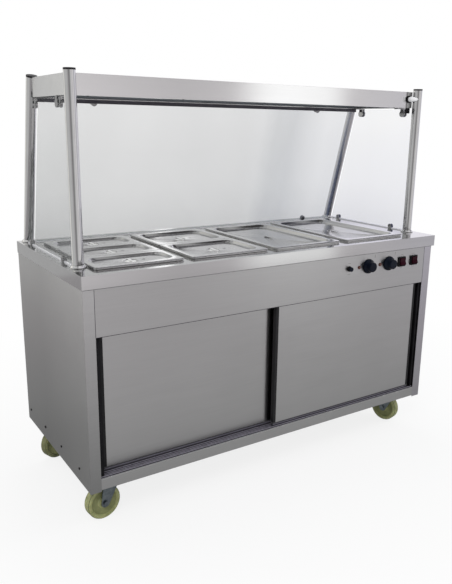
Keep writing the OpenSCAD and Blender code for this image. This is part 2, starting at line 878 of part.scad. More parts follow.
// Clamp that hangs under the end of the hood, its arm towards -X
module end_clamp_high() {
  mirror([0, 0, 1]) difference() {
    union() {
      clamp_body(clamp_drop, clamp_d, clamp_t, clamp_foot);
      span([-glass_x + post_x - post_d, -clamp_foot, 0], [0, clamp_foot, 4]);
    }
    clamp_slot(end_glass_drop);
  }
}

// Clamp of the rear pane on the worktop
module rear_clamp_low(x) {
  difference() {
    leaning(x) translate([0, rear_local_y, 0]) rotate([0, 0, 90])
      clamp_body(clamp_low_d / 2 + 7, clamp_low_d, clamp_low_t, clamp_foot_low);
    leaning(x) translate([0, rear_local_y, 0]) rotate([0, 0, 90]) clamp_slot(rear_local_z0 + 1);
    span([x - 60, post_y_rear - 90, top_z - 60], [x + 60, post_y_rear + 60, top_z]);
  }
}

// Clamp of the rear pane on the hood's rear lip
module rear_clamp_high(x) {
  difference() {
    union() {
      leaning(x) translate([0, rear_local_y, rear_local_z1 + 1]) rotate([0, 0, 90])
        rod_x([-clamp_t / 2, 0, 0], clamp_lip_d / 2, clamp_t);
      span([x - clamp_foot, hood_y1, lip_z + 1], [x + clamp_foot, rear_glass_y1 + 6, hood_z0]);
    }
    leaning(x) translate([0, rear_local_y, rear_local_z1]) mirror([0, 0, 1]) rotate([0, 0, 90])
      clamp_slot(0);
  }
}

module glass_clamps() {
  color([0.85, 0.85, 0.86]) in_frame() {
    for (m = [0, 1], y = clamp_low_y)
      mirror([m, 0, 0]) translate([glass_x, y, top_z]) end_clamp_low();
    for (m = [0, 1], y = clamp_high_y)
      mirror([m, 0, 0]) translate([glass_x, y, hood_z0]) end_clamp_high();
    for (x = [clamp_low_in - post_x, post_x - clamp_low_in]) rear_clamp_low(x);
    for (x = [hood_x0 + clamp_high_in[0], hood_x1 - clamp_high_in[1]]) rear_clamp_high(x);
  }
}

// Rivets from the front and from the rear of the side panel
rivet_front = 103;
rivet_rear = 38;

function rivet_y(i) = cab_y0 + rivet_front + i * (cab_y1 - cab_y0 - rivet_front - rivet_rear) / 3;

// Rivets of the side panel, screws and bracket of the hood and bolts of the caster plates
module fasteners() {
  color([0.3, 0.3, 0.31]) in_frame() {
    for (i = [0 : 3])
      rod_x([cab_x0 - 0.9, rivet_y(i), deck_z + 8], 3.2, 0.9);
    for (i = [0 : 4]) {
      rod_z([hood_screw_x(i), screw_y, hood_z0 - 2], 3.6, 2);
      rod_z([hood_screw_x(i), screw_y, hood_z0 - 1], 2, 8);
    }
    for (c = caster_at, sx = [-1, 1], sy = [-1, 1])
      translate([c[0] + sx * 40, c[1] + sy * 30, caster_h - 4]) rod_z([0, 0, -5], 6, 5);
    span([hood_x1 - 32, hood_y0 + 2, hood_z0 - 22], [hood_x1 - 8, hood_y0 + 5, hood_z0]);
  }
}

// Casters

module caster_plates() {
  color(zinc) in_frame() for (c = caster_at) translate([c[0], c[1], 0]) {
    span([-50, -40, caster_h - 4], [50, 40, caster_h]);
    rod_z([0, 0, race_z], 26, caster_h - 4 - race_z);
    rod_z([0, 0, crown_z - 3 - seat], 6, race_z - crown_z + 3 + seat);
    rod_z([0, 0, crown_z - 3 - seat], 10, 3);
  }
}

// Fork with its axle, the wheel trailing along +X from the swivel axis
module fork(i) {
  c = caster_at[i];
  axle_z = wheel_d / 2;
  color(zinc) in_frame() translate([c[0], c[1], 0]) rotate([0, 0, c[2]]) {
    difference() {
      union() {
        rod_z([0, 0, crown_z], hub_w / 2 + leg_t + 4, crown_t);
        span([0, -hub_w / 2 - leg_t, crown_z], [trail + 4, hub_w / 2 + leg_t, crown_z + crown_t]);
        for (s = [-1, 1])
          translate([0, s * (hub_w / 2 + leg_t / 2) + leg_t / 2, 0]) rotate([90, 0, 0])
            linear_extrude(leg_t) union() {
              polygon([
                [-24, crown_z + crown_t], [trail + 4, crown_z + crown_t],
                [trail + 16, axle_z + 4], [trail - 13, axle_z - 10]
              ]);
              translate([trail, axle_z]) circle(r = 16);
            }
      }
      rod_z([0, 0, crown_z - cut], 6 + run_fit, crown_t + 2 * cut);
      rod_y([trail, -hub_w, axle_z], axle_r + run_fit, 2 * hub_w);
    }
    rod_y([trail, -hub_w / 2 - leg_t - 6, axle_z], axle_r, hub_w + 2 * leg_t + 12);
    for (s = [-1, 1])
      rod_y([trail, s * (hub_w / 2 + leg_t + run_fit + 3) - 3, axle_z], 9, 6);
  }
}

module wheel(i) {
  c = caster_at[i];
  r = wheel_d / 2;
  w = wheel_w / 2;
  hub = hub_w / 2 - seat;
  bore = axle_r + run_fit;
  color(nylon) in_frame() translate([c[0], c[1], 0]) rotate([0, 0, c[2]])
    translate([trail, 0, r]) rotate([90, 0, 0]) rotate_extrude($fn = 96) polygon([
      [bore, -hub], [17, -hub], [18, -w + 4], [23, -10], [44, -10], [49, -w + 2], [52, -w], [r - 4, -w],
      [r, -w + 5], [r, w - 5], [r - 4, w], [52, w], [49, w - 2], [44, 10], [23, 10], [18, w - 4],
      [17, hub], [bore, hub]
    ]);
}

// Pans and lids: bay, first cell, number of cells in the bay

module pan(bay, cell, cells) {
  d = bay_d / cells;
  x = bay_x + bay * bay_pitch + pan_inset;
  y = bay_y + cell * d + lid_gap / 2 + pan_inset;
  w = bay_w - 2 * pan_inset;
  dy = d - lid_gap - 2 * pan_inset;
  bar = cells > 1 ? 12 : 0;
  y0 = cell == 0 ? 0 : bar - rim_rest;
  y1 = cell == cells - 1 ? 0 : bar - rim_rest;
  wall = rim_rest + 0.5;
  foot = top_z + (cells > 1 ? 0.7 : 0) + seat;
  color(steel) in_frame() difference() {
    union() {
      round_slab(x, y, rim_z - pan_t, w, dy, pan_t, 10);
      difference() {
        round_slab(x, y, foot, w, dy, rim_z - foot, 10);
        round_slab(x + pan_t, y + pan_t, foot - cut, w - 2 * pan_t, dy - 2 * pan_t, rim_z, 9);
      }
      round_slab(
        x + wall, y + wall + y0, rim_z - pan_depth,
        w - 2 * wall, dy - 2 * wall - y0 - y1, pan_depth, pan_corner
      );
    }
    round_slab(
      x + wall + pan_t, y + wall + y0 + pan_t, rim_z - pan_depth + pan_t,
      w - 2 * wall - 2 * pan_t, dy - 2 * wall - y0 - y1 - 2 * pan_t, pan_depth + cut, pan_corner - pan_t
    );
  }
}

// Lid with a sunk centre, a round finger dish with a strap, and a vent hole on the small ones
module lid(bay, cell, cells) {
  d = bay_d / cells;
  x = bay_x + bay * bay_pitch;
  y = bay_y + cell * d + lid_gap / 2;
  dy = d - lid_gap;
  z1 = top_z + lid_rise;
  sink = cells == 1 ? 20 : cells == 2 ? 18 : 14;
  edge = 20;
  lip = lid_lip;
  rim = lid_rim;
  cx = x + bay_w / 2;
  cy = y + dy / 2;
  color(steel) in_frame() difference() {
    union() {
      round_slab(x, y, z1 - lip, bay_w, dy, lip, 12);
      round_slab(x + rim, y + rim, z1 - sink - pan_t, bay_w - 2 * rim, dy - 2 * rim, sink + pan_t, edge);
      rod_z([cx, cy, z1 - sink - dish_deep - pan_t], dish_r + pan_t, dish_deep + pan_t);
    }
    difference() {
      round_slab(x + pan_t, y + pan_t, z1 - lip - cut, bay_w - 2 * pan_t, dy - 2 * pan_t, lip + cut - pan_t, 11);
      round_slab(x + rim, y + rim, z1 - lip - 2 * cut, bay_w - 2 * rim, dy - 2 * rim, lip + 3 * cut, edge);
    }
    round_slab(x + rim + pan_t, y + rim + pan_t, z1 - sink,
               bay_w - 2 * (rim + pan_t), dy - 2 * (rim + pan_t), sink + cut, edge - pan_t);
    difference() {
      rod_z([cx, cy, z1 - sink - dish_deep], dish_r, dish_deep + cut);
      span([cx - 5, cy - dish_r - 1, z1 - sink - 2], [cx + 5, cy + dish_r + 1, z1 - sink]);
    }
    if (cells > 1)
      rod_z([cx + 48, cy, z1 - sink - pan_t - cut], 4.5, pan_t + 2 * cut);
  }
}

worktop();
left_side_panel();
right_side_panel();
rear_panel();
control_fascia();
base_tray();
door_tracks();
door_jambs();
cupboard_shelf();
bain_marie_tank();
pan_bars();
tank_element();
cupboard_heater();
drain_pipe();
thermostats();
neon_lamps();
switch_housings();
supply_box();
gantry_posts();
post_feet();
post_caps();
hood_shell();
heat_lamps();
cable_conduit();
rear_glass();
end_glasses();
glass_clamps();
fasteners();
caster_plates();
left_door();
left_door_trim();
right_door();
right_door_trim();
knob_left();
knob_right();
rocker_left();
rocker_right();
push_button();
fork(0);  // fork_fl
fork(1);  // fork_fr
fork(2);  // fork_rl
fork(3);  // fork_rr
wheel(0);  // wheel_fl
wheel(1);  // wheel_fr
wheel(2);  // wheel_rl
wheel(3);  // wheel_rr
pan(0, 0, 3);  // pan_1a
pan(0, 1, 3);  // pan_1b
pan(0, 2, 3);  // pan_1c
pan(1, 0, 2);  // pan_2a
pan(1, 1, 2);  // pan_2b
pan(2, 0, 1);  // pan_3
pan(3, 0, 1);  // pan_4
lid(0, 0, 3);  // lid_1a
lid(0, 1, 3);  // lid_1b
lid(0, 2, 3);  // lid_1c
lid(1, 0, 2);  // lid_2a
lid(1, 1, 2);  // lid_2b
lid(2, 0, 1);  // lid_3
lid(3, 0, 1);  // lid_4
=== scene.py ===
"""Looks of the mobile serving counter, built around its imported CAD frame."""

import json
import math

import bmesh
import bpy
from mathutils import Matrix, Vector


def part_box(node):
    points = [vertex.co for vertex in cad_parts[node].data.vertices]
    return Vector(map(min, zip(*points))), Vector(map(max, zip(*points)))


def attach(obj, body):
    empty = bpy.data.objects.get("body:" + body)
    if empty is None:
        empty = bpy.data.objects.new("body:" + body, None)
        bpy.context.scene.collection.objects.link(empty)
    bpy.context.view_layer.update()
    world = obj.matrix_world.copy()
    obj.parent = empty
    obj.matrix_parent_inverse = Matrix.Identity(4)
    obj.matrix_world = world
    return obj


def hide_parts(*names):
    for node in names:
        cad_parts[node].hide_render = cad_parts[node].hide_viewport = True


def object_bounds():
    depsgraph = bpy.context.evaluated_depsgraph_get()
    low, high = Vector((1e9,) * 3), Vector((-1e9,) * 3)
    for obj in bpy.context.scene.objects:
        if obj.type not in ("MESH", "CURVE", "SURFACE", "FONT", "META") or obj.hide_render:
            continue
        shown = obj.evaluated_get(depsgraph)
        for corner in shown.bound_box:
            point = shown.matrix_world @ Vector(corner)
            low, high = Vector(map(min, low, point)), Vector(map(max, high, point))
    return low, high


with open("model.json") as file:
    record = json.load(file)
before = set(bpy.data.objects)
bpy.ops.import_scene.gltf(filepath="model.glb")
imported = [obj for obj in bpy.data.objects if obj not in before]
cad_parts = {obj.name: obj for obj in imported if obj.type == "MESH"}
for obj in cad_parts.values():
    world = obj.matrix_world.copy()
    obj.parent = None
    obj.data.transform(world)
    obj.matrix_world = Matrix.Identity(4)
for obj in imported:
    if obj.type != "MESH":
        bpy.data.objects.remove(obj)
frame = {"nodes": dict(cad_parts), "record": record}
nodes = frame["nodes"]
cad_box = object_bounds()

MM = 0.001
# Tints
NEUTRAL = (1.0, 1.0, 1.0)
WARM = (1.0, 0.985, 0.93)
PINK = (1.0, 0.965, 0.985)
LAVENDER = (0.985, 0.965, 1.03)

# Camera, fitted to the photograph: angles in degrees, place in metres, lengths in its pixels
PHOTO_W, PHOTO_H = 452, 584
CAMERA_AZIMUTH, CAMERA_ELEVATION, CAMERA_ROLL = -33.92, 14.2, 1.0
CAMERA_AT = Vector((-1.46812, -2.20002, 1.36007))
CAMERA_FOCAL_PX = 650.4
CAMERA_CENTRE_PX = (240.4, 287.6)

# Lids: how many share the bay of each one, and the depth of the recess by that number
LIDS = {"lid_1a": 3, "lid_1b": 3, "lid_1c": 3, "lid_2a": 2, "lid_2b": 2, "lid_3": 1, "lid_4": 1}
LID_SINK = {1: 14 * MM, 2: 11 * MM, 3: 8.5 * MM}
# Pressed sheet of a lid: thickness, height of the folded lip, width of the flat rim
LID_SHEET = 1.2 * MM
LID_LIP = 4.5 * MM
LID_RIM = 24 * MM
# Corners of the lid and of its recess, seen from above
LID_CORNER = 12 * MM
LID_RECESS_CORNER = 38 * MM
# Radii of its bends, from the outer edge inwards, and the slope of the recess's wall
LID_EDGE = 2.4 * MM
LID_STEP = 2 * MM
LID_FILLET = 4 * MM
LID_DRAFT = 3 * MM
# Depths under the rim between which the outer edge is painted as a dark line of shadow, and the
# edge's width; below them the lip is painted light
LINE_TOP = 1.2 * MM
LINE_FOOT = 3 * MM
LINE_WIDE = 1.4 * MM
# Painted shade on the recess's rear wall: its foot's height above the recess's floor, and how steep
# it is (the least part of a face's normal that points to the front)
SHADE_FOOT = 0.8 * MM
SHADE_FACING = 0.4
# Finger dish: radius, depth, share of the radius that has its own finish, a painted reflection on
# lids of more than one cell
DISH_R = 24 * MM
DISH_DEEP = 12 * MM
DISH_SHARE = 0.85
# Distance of the vent hole from the dish's middle
VENT_OFF = 48 * MM

# Trim, in millimetres
# Panes: thickness, how far the seal stands out on both sides, its gap to the worktop, its overlap
PANE = 6
SEAL_PROUD = 0.4
SEAL_GAP = 0.1
SEAL_LAP = 0.3
# Joints between panels, drawn as strips of painted shadow: width, and how far they stand proud
SEAM_W = 1.5
SEAM_PROUD = 0.3
# Conduit: radii of the pipe, of its locknut and of the elbow's bend; the locknut is drawn wider
# than the real one, so its black is partly painted shade
PIPE_R = 8
NUT_R = 14
ELBOW_R = 9
# Hood: thickness of its sheet, and how far above the end glasses its gasket and its strip of
# painted light meet
HOOD_SHEET = 1.2
HOOD_LINE = 4
# Printed marks: how far they stand proud of the fascia and reach into it
MARK_PROUD = 0.25
MARK_SUNK = 0.1
# Dash beside a knob: width, height, gap to the knob's side and to its top
TICK_W, TICK_H = 4, 13
TICK_SIDE, TICK_OVER = 3, 2
# Dashes above and below a switch: width, height and gap to the switch
DASH_W, DASH_H, DASH_GAP = 14, 2, 12
# Radius and distance from the wheel's middle of the rings of painted shade on a wheel, in
# millimetres
WHEEL_RINGS = {
    "tread_shade": [(61.2, 14.85), (62.48, 13.3)],
    "web_shade": [(46.8, 13.4), (44.2, 10.25), (24.0, 10.25)],
}
WHEEL_SIDES = 64
# Rivet heads: distance from the panel's face and radius, in millimetres
RIVET_HEAD = [(0.1, 4.6), (1.6, 4.4), (2.4, 2.6)]
# Cells, in metres, in which the vertices of a rivet are gathered
RIVET_CELL = 0.03
# Height in metres below which the doors' trim is grey: the lower edge of the door panels
TRIM_FOOT = 0.2183

# What metal sees above the floor: azimuth in degrees (0 = +X, 90 = +Y), level and tint
FRONT_AROUND = [
    (-180, 0.74, NEUTRAL), (-153, 0.66, NEUTRAL), (-138, 0.5, PINK), (-124, 0.3, PINK),
    (-110, 0.38, NEUTRAL), (-97, 0.75, NEUTRAL), (-74, 0.96, PINK), (-61, 0.7, PINK),
    (-57, 0.76, PINK), (-54, 1.32, NEUTRAL), (-48.2, 1.32, NEUTRAL), (-47.2, 0.8, PINK),
    (-40, 0.72, LAVENDER), (-27, 0.72, LAVENDER), (-8, 1.0, LAVENDER), (0, 1.1, LAVENDER),
]
REAR_AROUND = [
    (0, 1.15, LAVENDER), (20, 1.2, LAVENDER), (38, 1.05, LAVENDER), (42.2, 1.1, LAVENDER),
    (43.4, 1.3, LAVENDER), (45.5, 1.3, LAVENDER), (47, 1.09, LAVENDER), (49.7, 0.97, NEUTRAL),
    (52.7, 0.82, NEUTRAL), (55.9, 1.1, NEUTRAL), (62.1, 1.08, NEUTRAL), (62.5, 2.4, NEUTRAL),
    (63.8, 2.4, NEUTRAL), (64.2, 1.05, NEUTRAL), (75, 0.95, NEUTRAL), (98, 0.8, NEUTRAL),
    (103, 0.55, NEUTRAL), (111, 0.55, NEUTRAL), (119, 1.25, WARM), (132, 1.25, WARM),
    (141, 0.68, NEUTRAL), (180, 0.74, NEUTRAL),
]
# The tall bright panel in front, as azimuths between which no dark band lies
PANEL = (-54.5, -46.0)
# In front of the counter: sine of the elevation and level; a dark band lies above the horizon
FRONT_RISE = [
    (-1.0, 1.0), (0.14, 1.0), (0.19, 0.5), (0.25, 0.14), (0.5, 0.12), (0.66, 0.4), (0.84, 1.0),
    (1.0, 1.15),
]
# Y of the direction between which that band fades out, from the front to the sides
BAND_FADE = (-0.35, -0.05)
# Floor seen directly: share of white beside the counter, which grows to all between two distances
FLOOR_WHITE = 0.82
WHITE_FROM, WHITE_TO = 0.1, 1.6
# Painted shade of the floor in mirrored light, darker near the counter and toward the sides: from
# the counter's foot to FLOOR_FAR away, and from left to right
FLOOR_FAR = 2.5
FLOOR_TONES = [(0.0, 0.34, NEUTRAL), (0.25, 0.5, NEUTRAL), (0.6, 0.58, PINK), (1.0, 0.62, PINK)]
FLOOR_LEFT, FLOOR_RIGHT = -1.4, 1.6
FLOOR_SIDES = [
    (0.067, 0.7, NEUTRAL), (0.233, 1.0, NEUTRAL), (0.5, 1.0, NEUTRAL), (0.85, 0.85, NEUTRAL),
]
# Half the side of the floor
FLOOR_HALF = 3.4
# Strength of the world's light on surfaces that don't mirror it
FILL = 0.66
# Lamps: name, place, aim, size and power in watts
LAMPS = [
    ("key", (-2.6, -2.6, 3.2), (0, 0, 0.8), (1.8, 1.2), 60),
    ("right_fill", (3.2, -1.8, 2.4), (0, 0, 0.7), (1.4, 1.4), 28),
    ("rear_top", (0.6, 2.6, 3.0), (0, 0, 0.9), (2.0, 1.0), 30),
]

# Painted reflection and shade on the glass from one end of the counter to the other: (place, level,
# tint), and (place, what is added to the share of what lies behind that the glass hides)
GLASS_ENDS = (-0.8, 0.8)
GLASS_PAINTED_TINT = [
    (0.0, 1.0, (0.2, 0.22, 0.22)), (0.6, 1.0, (0.2, 0.22, 0.26)), (0.72, 1.0, (0.18, 0.23, 0.32)),
    (0.965, 1.0, (0.17, 0.21, 0.36)), (0.975, 1.0, (0.17, 0.2, 0.46)),
]
GLASS_PAINTED_SHADE = [
    (0.0, -0.115), (0.026, -0.115), (0.034, 0.0), (0.65, 0.0), (0.7, 0.06), (0.76, 0.06),
    (0.82, 0.01), (0.88, -0.03), (0.965, -0.03), (0.975, -0.11),
]
# (place, share of what lies behind that the glass hides) from the lower to the upper height of the
# span on the next line
HIDE_SPAN = (0.9, 1.5)
HIDE_HEIGHT = [
    (0.0, 0.27), (0.15, 0.238), (0.32, 0.208), (0.475, 0.198), (0.63, 0.185), (0.8, 0.165),
]
# Share that a cut edge of the glass hides
CUT_EDGE = 0.8

# Radii at which shading rounds the edges of sheets, of polished metal and of mouldings
SHEET_ROUND = 1.2 * MM
POLISHED_ROUND = 0.8 * MM
MOULDED_ROUND = 0.6 * MM


# Shader graphs


class Graph:
    """A node tree with short calls for the nodes that the materials and the world here share."""

    def __init__(self, tree):
        self.tree = tree

    @classmethod
    def material(cls, name):
        mat = bpy.data.materials.new(name)
        mat.use_nodes = True
        g = cls(mat.node_tree)
        g.mat = mat
        g.bsdf = g.tree.nodes["Principled BSDF"]
        g.out = g.tree.nodes["Material Output"]
        return g

    def node(self, kind, **inputs):
        n = self.tree.nodes.new(kind)
        for key, value in inputs.items():
            if hasattr(n, key) and key not in n.inputs:
                setattr(n, key, value)
            else:
                n.inputs[key].default_value = value
        return n

    def link(self, a, b):
        self.tree.links.new(a, b)

    def set(self, **sockets):
        for key, value in sockets.items():
            self.bsdf.inputs[key.replace("_", " ")].default_value = value

    def coords(self, scale):
        mapping = self.node("ShaderNodeMapping", Scale=scale)
        self.link(self.node("ShaderNodeTexCoord").outputs["Object"], mapping.inputs["Vector"])
        return mapping.outputs["Vector"]

    def noise(self, scale, detail, rough):
        n = self.node("ShaderNodeTexNoise", Scale=1.0, Detail=detail, Roughness=rough)
        self.link(self.coords(scale), n.inputs["Vector"])
        return n.outputs["Fac"]

    def spread(self, value, low, high, start=0.3, end=0.7):
        """Value from start..end laid out over low..high."""
        n = self.node("ShaderNodeMapRange")
        n.inputs["From Min"].default_value = start
        n.inputs["From Max"].default_value = end
        n.inputs["To Min"].default_value = low
        n.inputs["To Max"].default_value = high
        self.link(value, n.inputs["Value"])
        return n.outputs["Result"]

    def math(self, op, a, b):
        n = self.node("ShaderNodeMath", operation=op)
        for socket, value in zip(n.inputs, (a, b)):
            if isinstance(value, (int, float)):
                socket.default_value = value
            else:
                self.link(value, socket)
        return n.outputs[0]

    def vector(self, op, a, b=None):
        n = self.node("ShaderNodeVectorMath", operation=op)
        self.link(a, n.inputs[0])
        if b is not None:
            n.inputs[1].default_value = b
        return n.outputs["Value" if op == "LENGTH" else "Vector"]

    def split(self, value):
        n = self.node("ShaderNodeSeparateXYZ")
        self.link(value, n.inputs[0])
        return n.outputs["X"], n.outputs["Y"], n.outputs["Z"]

    def xyz(self, output="Object"):
        return self.split(self.node("ShaderNodeTexCoord").outputs[output])

    def ramp(self, value, stops):
        """Colour ramp of (place, level, tint) stops."""
        n = self.node("ShaderNodeValToRGB")
        elements = n.color_ramp.elements
        while len(elements) < len(stops):
            elements.new(0.5)
        for element, (place, level, tone) in zip(elements, stops):
            element.position = place
            element.color = (level * tone[0], level * tone[1], level * tone[2], 1)
        self.link(value, n.inputs["Fac"])
        return n.outputs["Color"]

    def shader_mix(self, factor, a, b):
        n = self.node("ShaderNodeMixShader")
        for socket, value in zip(n.inputs, (factor, a, b)):
            self.link(value, socket)
        return n.outputs[0]

    def blend(self, factor, a, b, mode="MIX"):
        """Colour a towards b; each may be a socket or a tuple."""
        n = self.node("ShaderNodeMix", data_type="RGBA", blend_type=mode)
        for place, value in ((0, factor), (6, a), (7, b)):
            if isinstance(value, tuple):
                n.inputs[place].default_value = (*value, 1)
            elif isinstance(value, float):
                n.inputs[place].default_value = value
            else:
                self.link(value, n.inputs[place])
        return n.outputs[2]

    def paint(self, value, dark, light):
        """Base colour from dark to light as the value rises through its middle."""
        colour = self.blend(self.spread(value, 0.0, 1.0), dark, light)
        self.link(colour, self.bsdf.inputs["Base Color"])

    def roughen(self, value, low, high, start=0.3, end=0.7):
        self.link(self.spread(value, low, high, start, end), self.bsdf.inputs["Roughness"])

    def emboss(self, height, strength, distance, radius):
        """Bump from a height, on edges that are rounded by a radius."""
        rounded = self.node("ShaderNodeBevel", samples=4, Radius=radius)
        n = self.node("ShaderNodeBump", Strength=strength, Distance=distance)
        self.link(height, n.inputs["Height"])
        self.link(rounded.outputs["Normal"], n.inputs["Normal"])
        self.link(n.outputs["Normal"], self.bsdf.inputs["Normal"])


def brushed_steel(name, level, rough, aniso, across=(0.02, 1.0, 1.0), tone=NEUTRAL, painted_front_light=1.0):
    """Brushed stainless sheet, smeared across its brushing. A last argument above 1 is how much
    brighter the front edge is painted, as painted light; such a sheet is also painted darker toward
    the floor, as painted shade."""
    g = Graph.material(name)
    grain_lines = g.noise((5.0, 700.0, 700.0), 2.0, 0.6)
    clouds = g.noise((2.3, 2.3, 2.3), 3.0, 0.5)
    wipes = g.noise((4.0, 30.0, 30.0), 3.0, 0.55)
    blotch = g.math("ADD", g.math("MULTIPLY", clouds, 0.6), g.math("MULTIPLY", wipes, 0.4))
    mixed = g.math("ADD", g.math("MULTIPLY", grain_lines, 0.35), g.math("MULTIPLY", blotch, 0.65))
    dark, light = (tuple(level * k * c for c in tone) for k in (0.95, 1.05))
    colour = g.blend(g.spread(mixed, 0.0, 1.0, 0.35, 0.65), dark, light)
    # Painted light along the front edge and painted shade toward the floor
    if painted_front_light != 1.0:
        _, depth, height = g.xyz()
        front_lit = g.blend(g.spread(depth, 0.0, 1.0, 0.1, -0.34), NEUTRAL, (painted_front_light, painted_front_light, painted_front_light))
        low_shaded = g.blend(g.spread(height, 0.0, 1.0, 0.2, 0.8), (0.72, 0.72, 0.72), NEUTRAL)
        colour = g.blend(1.0, colour, g.blend(1.0, front_lit, low_shaded, "MULTIPLY"), "MULTIPLY")
    g.link(colour, g.bsdf.inputs["Base Color"])
    g.roughen(blotch, rough * 0.92, rough * 1.1, 0.35, 0.65)
    g.emboss(grain_lines, 0.05, 0.00004, SHEET_ROUND)
    g.set(Metallic=1.0, Anisotropic=aniso)
    tangent = g.node("ShaderNodeCombineXYZ", X=across[0], Y=across[1], Z=across[2])
    g.link(tangent.outputs[0], g.bsdf.inputs["Tangent"])
    return g.mat


def polished_steel(name, level, rough, tone=NEUTRAL):
    """Bright metal with faint polishing lines."""
    g = Graph.material(name)
    marks = g.noise((16.0, 16.0, 16.0), 3.0, 0.5)
    dark, light = (tuple(level * k * c for c in tone) for k in (0.96, 1.03))
    g.paint(marks, dark, light)
    g.roughen(marks, rough * 0.88, rough * 1.15)
    g.emboss(g.noise((300.0, 300.0, 12.0), 2.0, 0.5), 0.04, 0.00004, POLISHED_ROUND)
    g.set(Metallic=1.0)
    return g.mat


def pebbled(g):
    """Fine moulded grain on a plastic."""
    g.emboss(g.noise((500.0, 500.0, 500.0), 2.0, 0.5), 0.3, 0.00005, MOULDED_ROUND)


def plastic(name, dark, light, rough, shine=0.5):
    """Moulded or painted surface with faint clouds."""
    g = Graph.material(name)
    clouds = g.noise((14.0, 14.0, 14.0), 3.0, 0.6)
    g.paint(clouds, dark, light)
    g.roughen(clouds, rough - 0.05, rough + 0.07)
    pebbled(g)
    g.set(Specular_IOR_Level=shine)
    return g.mat


def zinc(name):
    """Zinc plating with small spangles and darker clouds."""
    g = Graph.material(name)
    spangle = g.node("ShaderNodeTexVoronoi", Scale=1.0)
    g.link(g.coords((260.0, 260.0, 260.0)), spangle.inputs["Vector"])
    clouds = g.noise((30.0, 30.0, 30.0), 4.0, 0.6)
    g.paint(clouds, (0.14, 0.165, 0.185), (0.32, 0.36, 0.38))
    g.roughen(spangle.outputs["Distance"], 0.24, 0.4, 0.0, 0.8)
    g.emboss(clouds, 0.1, 0.0001, POLISHED_ROUND)
    g.set(Metallic=1.0)
    return g.mat


def nylon(name, dark, light):
    """Cast nylon with stains and scuffs."""
    g = Graph.material(name)
    scuffs = g.noise((160.0, 160.0, 420.0), 3.0, 0.65)
    g.paint(g.noise((38.0, 38.0, 38.0), 4.0, 0.6), dark, light)
    g.roughen(scuffs, 0.34, 0.52)
    g.emboss(scuffs, 0.25, 0.0002, SHEET_ROUND)
    g.set(Subsurface_Weight=0.08, Subsurface_Scale=0.004)
    return g.mat


def ribbed_track(name):
    """Anodised track with grooves that run along it, painted dark in the grooves as shade."""
    g = Graph.material(name)
    _, depth, height = g.xyz()
    across = g.math("MULTIPLY", depth, 1 / (9 * MM))
    steps = g.math("ADD", g.math("MULTIPLY", height, 1 / (6 * MM)), across)
    ridge = g.spread(g.math("PINGPONG", steps, 0.5), 0.0, 1.0, 0.12, 0.3)
    # Painted shade in the grooves, against the track's own colour on the ridges
    colour = g.blend(ridge, (0.02, 0.018, 0.025), (0.31, 0.295, 0.345))
    g.link(colour, g.bsdf.inputs["Base Color"])
    g.roughen(g.noise((20.0, 60.0, 60.0), 3.0, 0.6), 0.22, 0.4)
    g.emboss(ridge, 0.3, 0.0004, MOULDED_ROUND)
    g.set(Metallic=0.2)
    return g.mat


def door_edging(name, foot):
    """Black edge strips; below the height foot the trim is grey."""
    g = Graph.material(name)
    _, _, height = g.xyz()
    grey_below = g.spread(height, 1.0, 0.0, foot, foot + 1 * MM)
    clouds = g.noise((14.0, 14.0, 14.0), 3.0, 0.6)
    black = g.blend(g.spread(clouds, 0.0, 1.0), (0.01, 0.01, 0.011), (0.018, 0.017, 0.019))
    g.link(g.blend(grey_below, black, (0.075, 0.073, 0.078)), g.bsdf.inputs["Base Color"])
    g.roughen(clouds, 0.36, 0.48)
    pebbled(g)
    g.set(Specular_IOR_Level=0.2)
    return g.mat


def glass(name):
    """Toughened sheet that hides more of what lies behind it low down, with faint streaks; from
    left to right its tint and how much it hides are painted reflection and shade. Its cut edges are
    greener and hide what lies behind them."""
    g = Graph.material(name)
    side, along, _ = g.xyz("Normal")
    place, _, height = g.xyz()
    facing = g.math("MAXIMUM", g.math("ABSOLUTE", side, 0.0), g.math("ABSOLUTE", along, 0.0))
    face = g.spread(facing, 0.0, 1.0, 0.85, 0.95)
    # Tint and share hidden from left to right: painted reflection and shade
    across = g.spread(place, 0.0, 1.0, *GLASS_ENDS)
    colour = g.blend(face, (0.1, 0.17, 0.15), g.ramp(across, GLASS_PAINTED_TINT))
    g.link(colour, g.bsdf.inputs["Base Color"])
    hidden = [(p, level, NEUTRAL) for p, level in HIDE_HEIGHT]
    low = g.ramp(g.spread(height, 0.0, 1.0, *HIDE_SPAN), hidden)
    # A ramp holds no level below 0, so the drift is lifted by 0.2 and the streaks lower it again
    drift = g.ramp(across, [(p, 0.2 + level, NEUTRAL) for p, level in GLASS_PAINTED_SHADE])
    streaks = g.spread(g.noise((2.2, 2.2, 0.7), 3.0, 0.5), -0.215, -0.185)
    hide_share = g.math("ADD", g.math("ADD", low, drift), streaks)
    less = g.math("MULTIPLY", g.math("SUBTRACT", hide_share, CUT_EDGE), face)
    g.link(g.math("ADD", less, CUT_EDGE), g.bsdf.inputs["Alpha"])
    g.set(Roughness=0.04, IOR=1.5, Specular_IOR_Level=0.6)
    return g.mat


def lens(name, colour):
    """Moulded lamp lens."""
    g = Graph.material(name)
    ribs = g.noise((900.0, 900.0, 900.0), 2.0, 0.5)
    g.paint(ribs, tuple(c * 0.8 for c in colour), colour)
    g.roughen(ribs, 0.12, 0.24)
    g.set(Coat_Weight=0.25, Coat_Roughness=0.08)
    return g.mat


# Smear of a sheet that is brushed from front to rear
DEEP_BRUSHED = (1.0, 0.02, 1.0)
BLACK_DARK, BLACK_LIGHT = (0.006, 0.006, 0.007), (0.014, 0.013, 0.015)
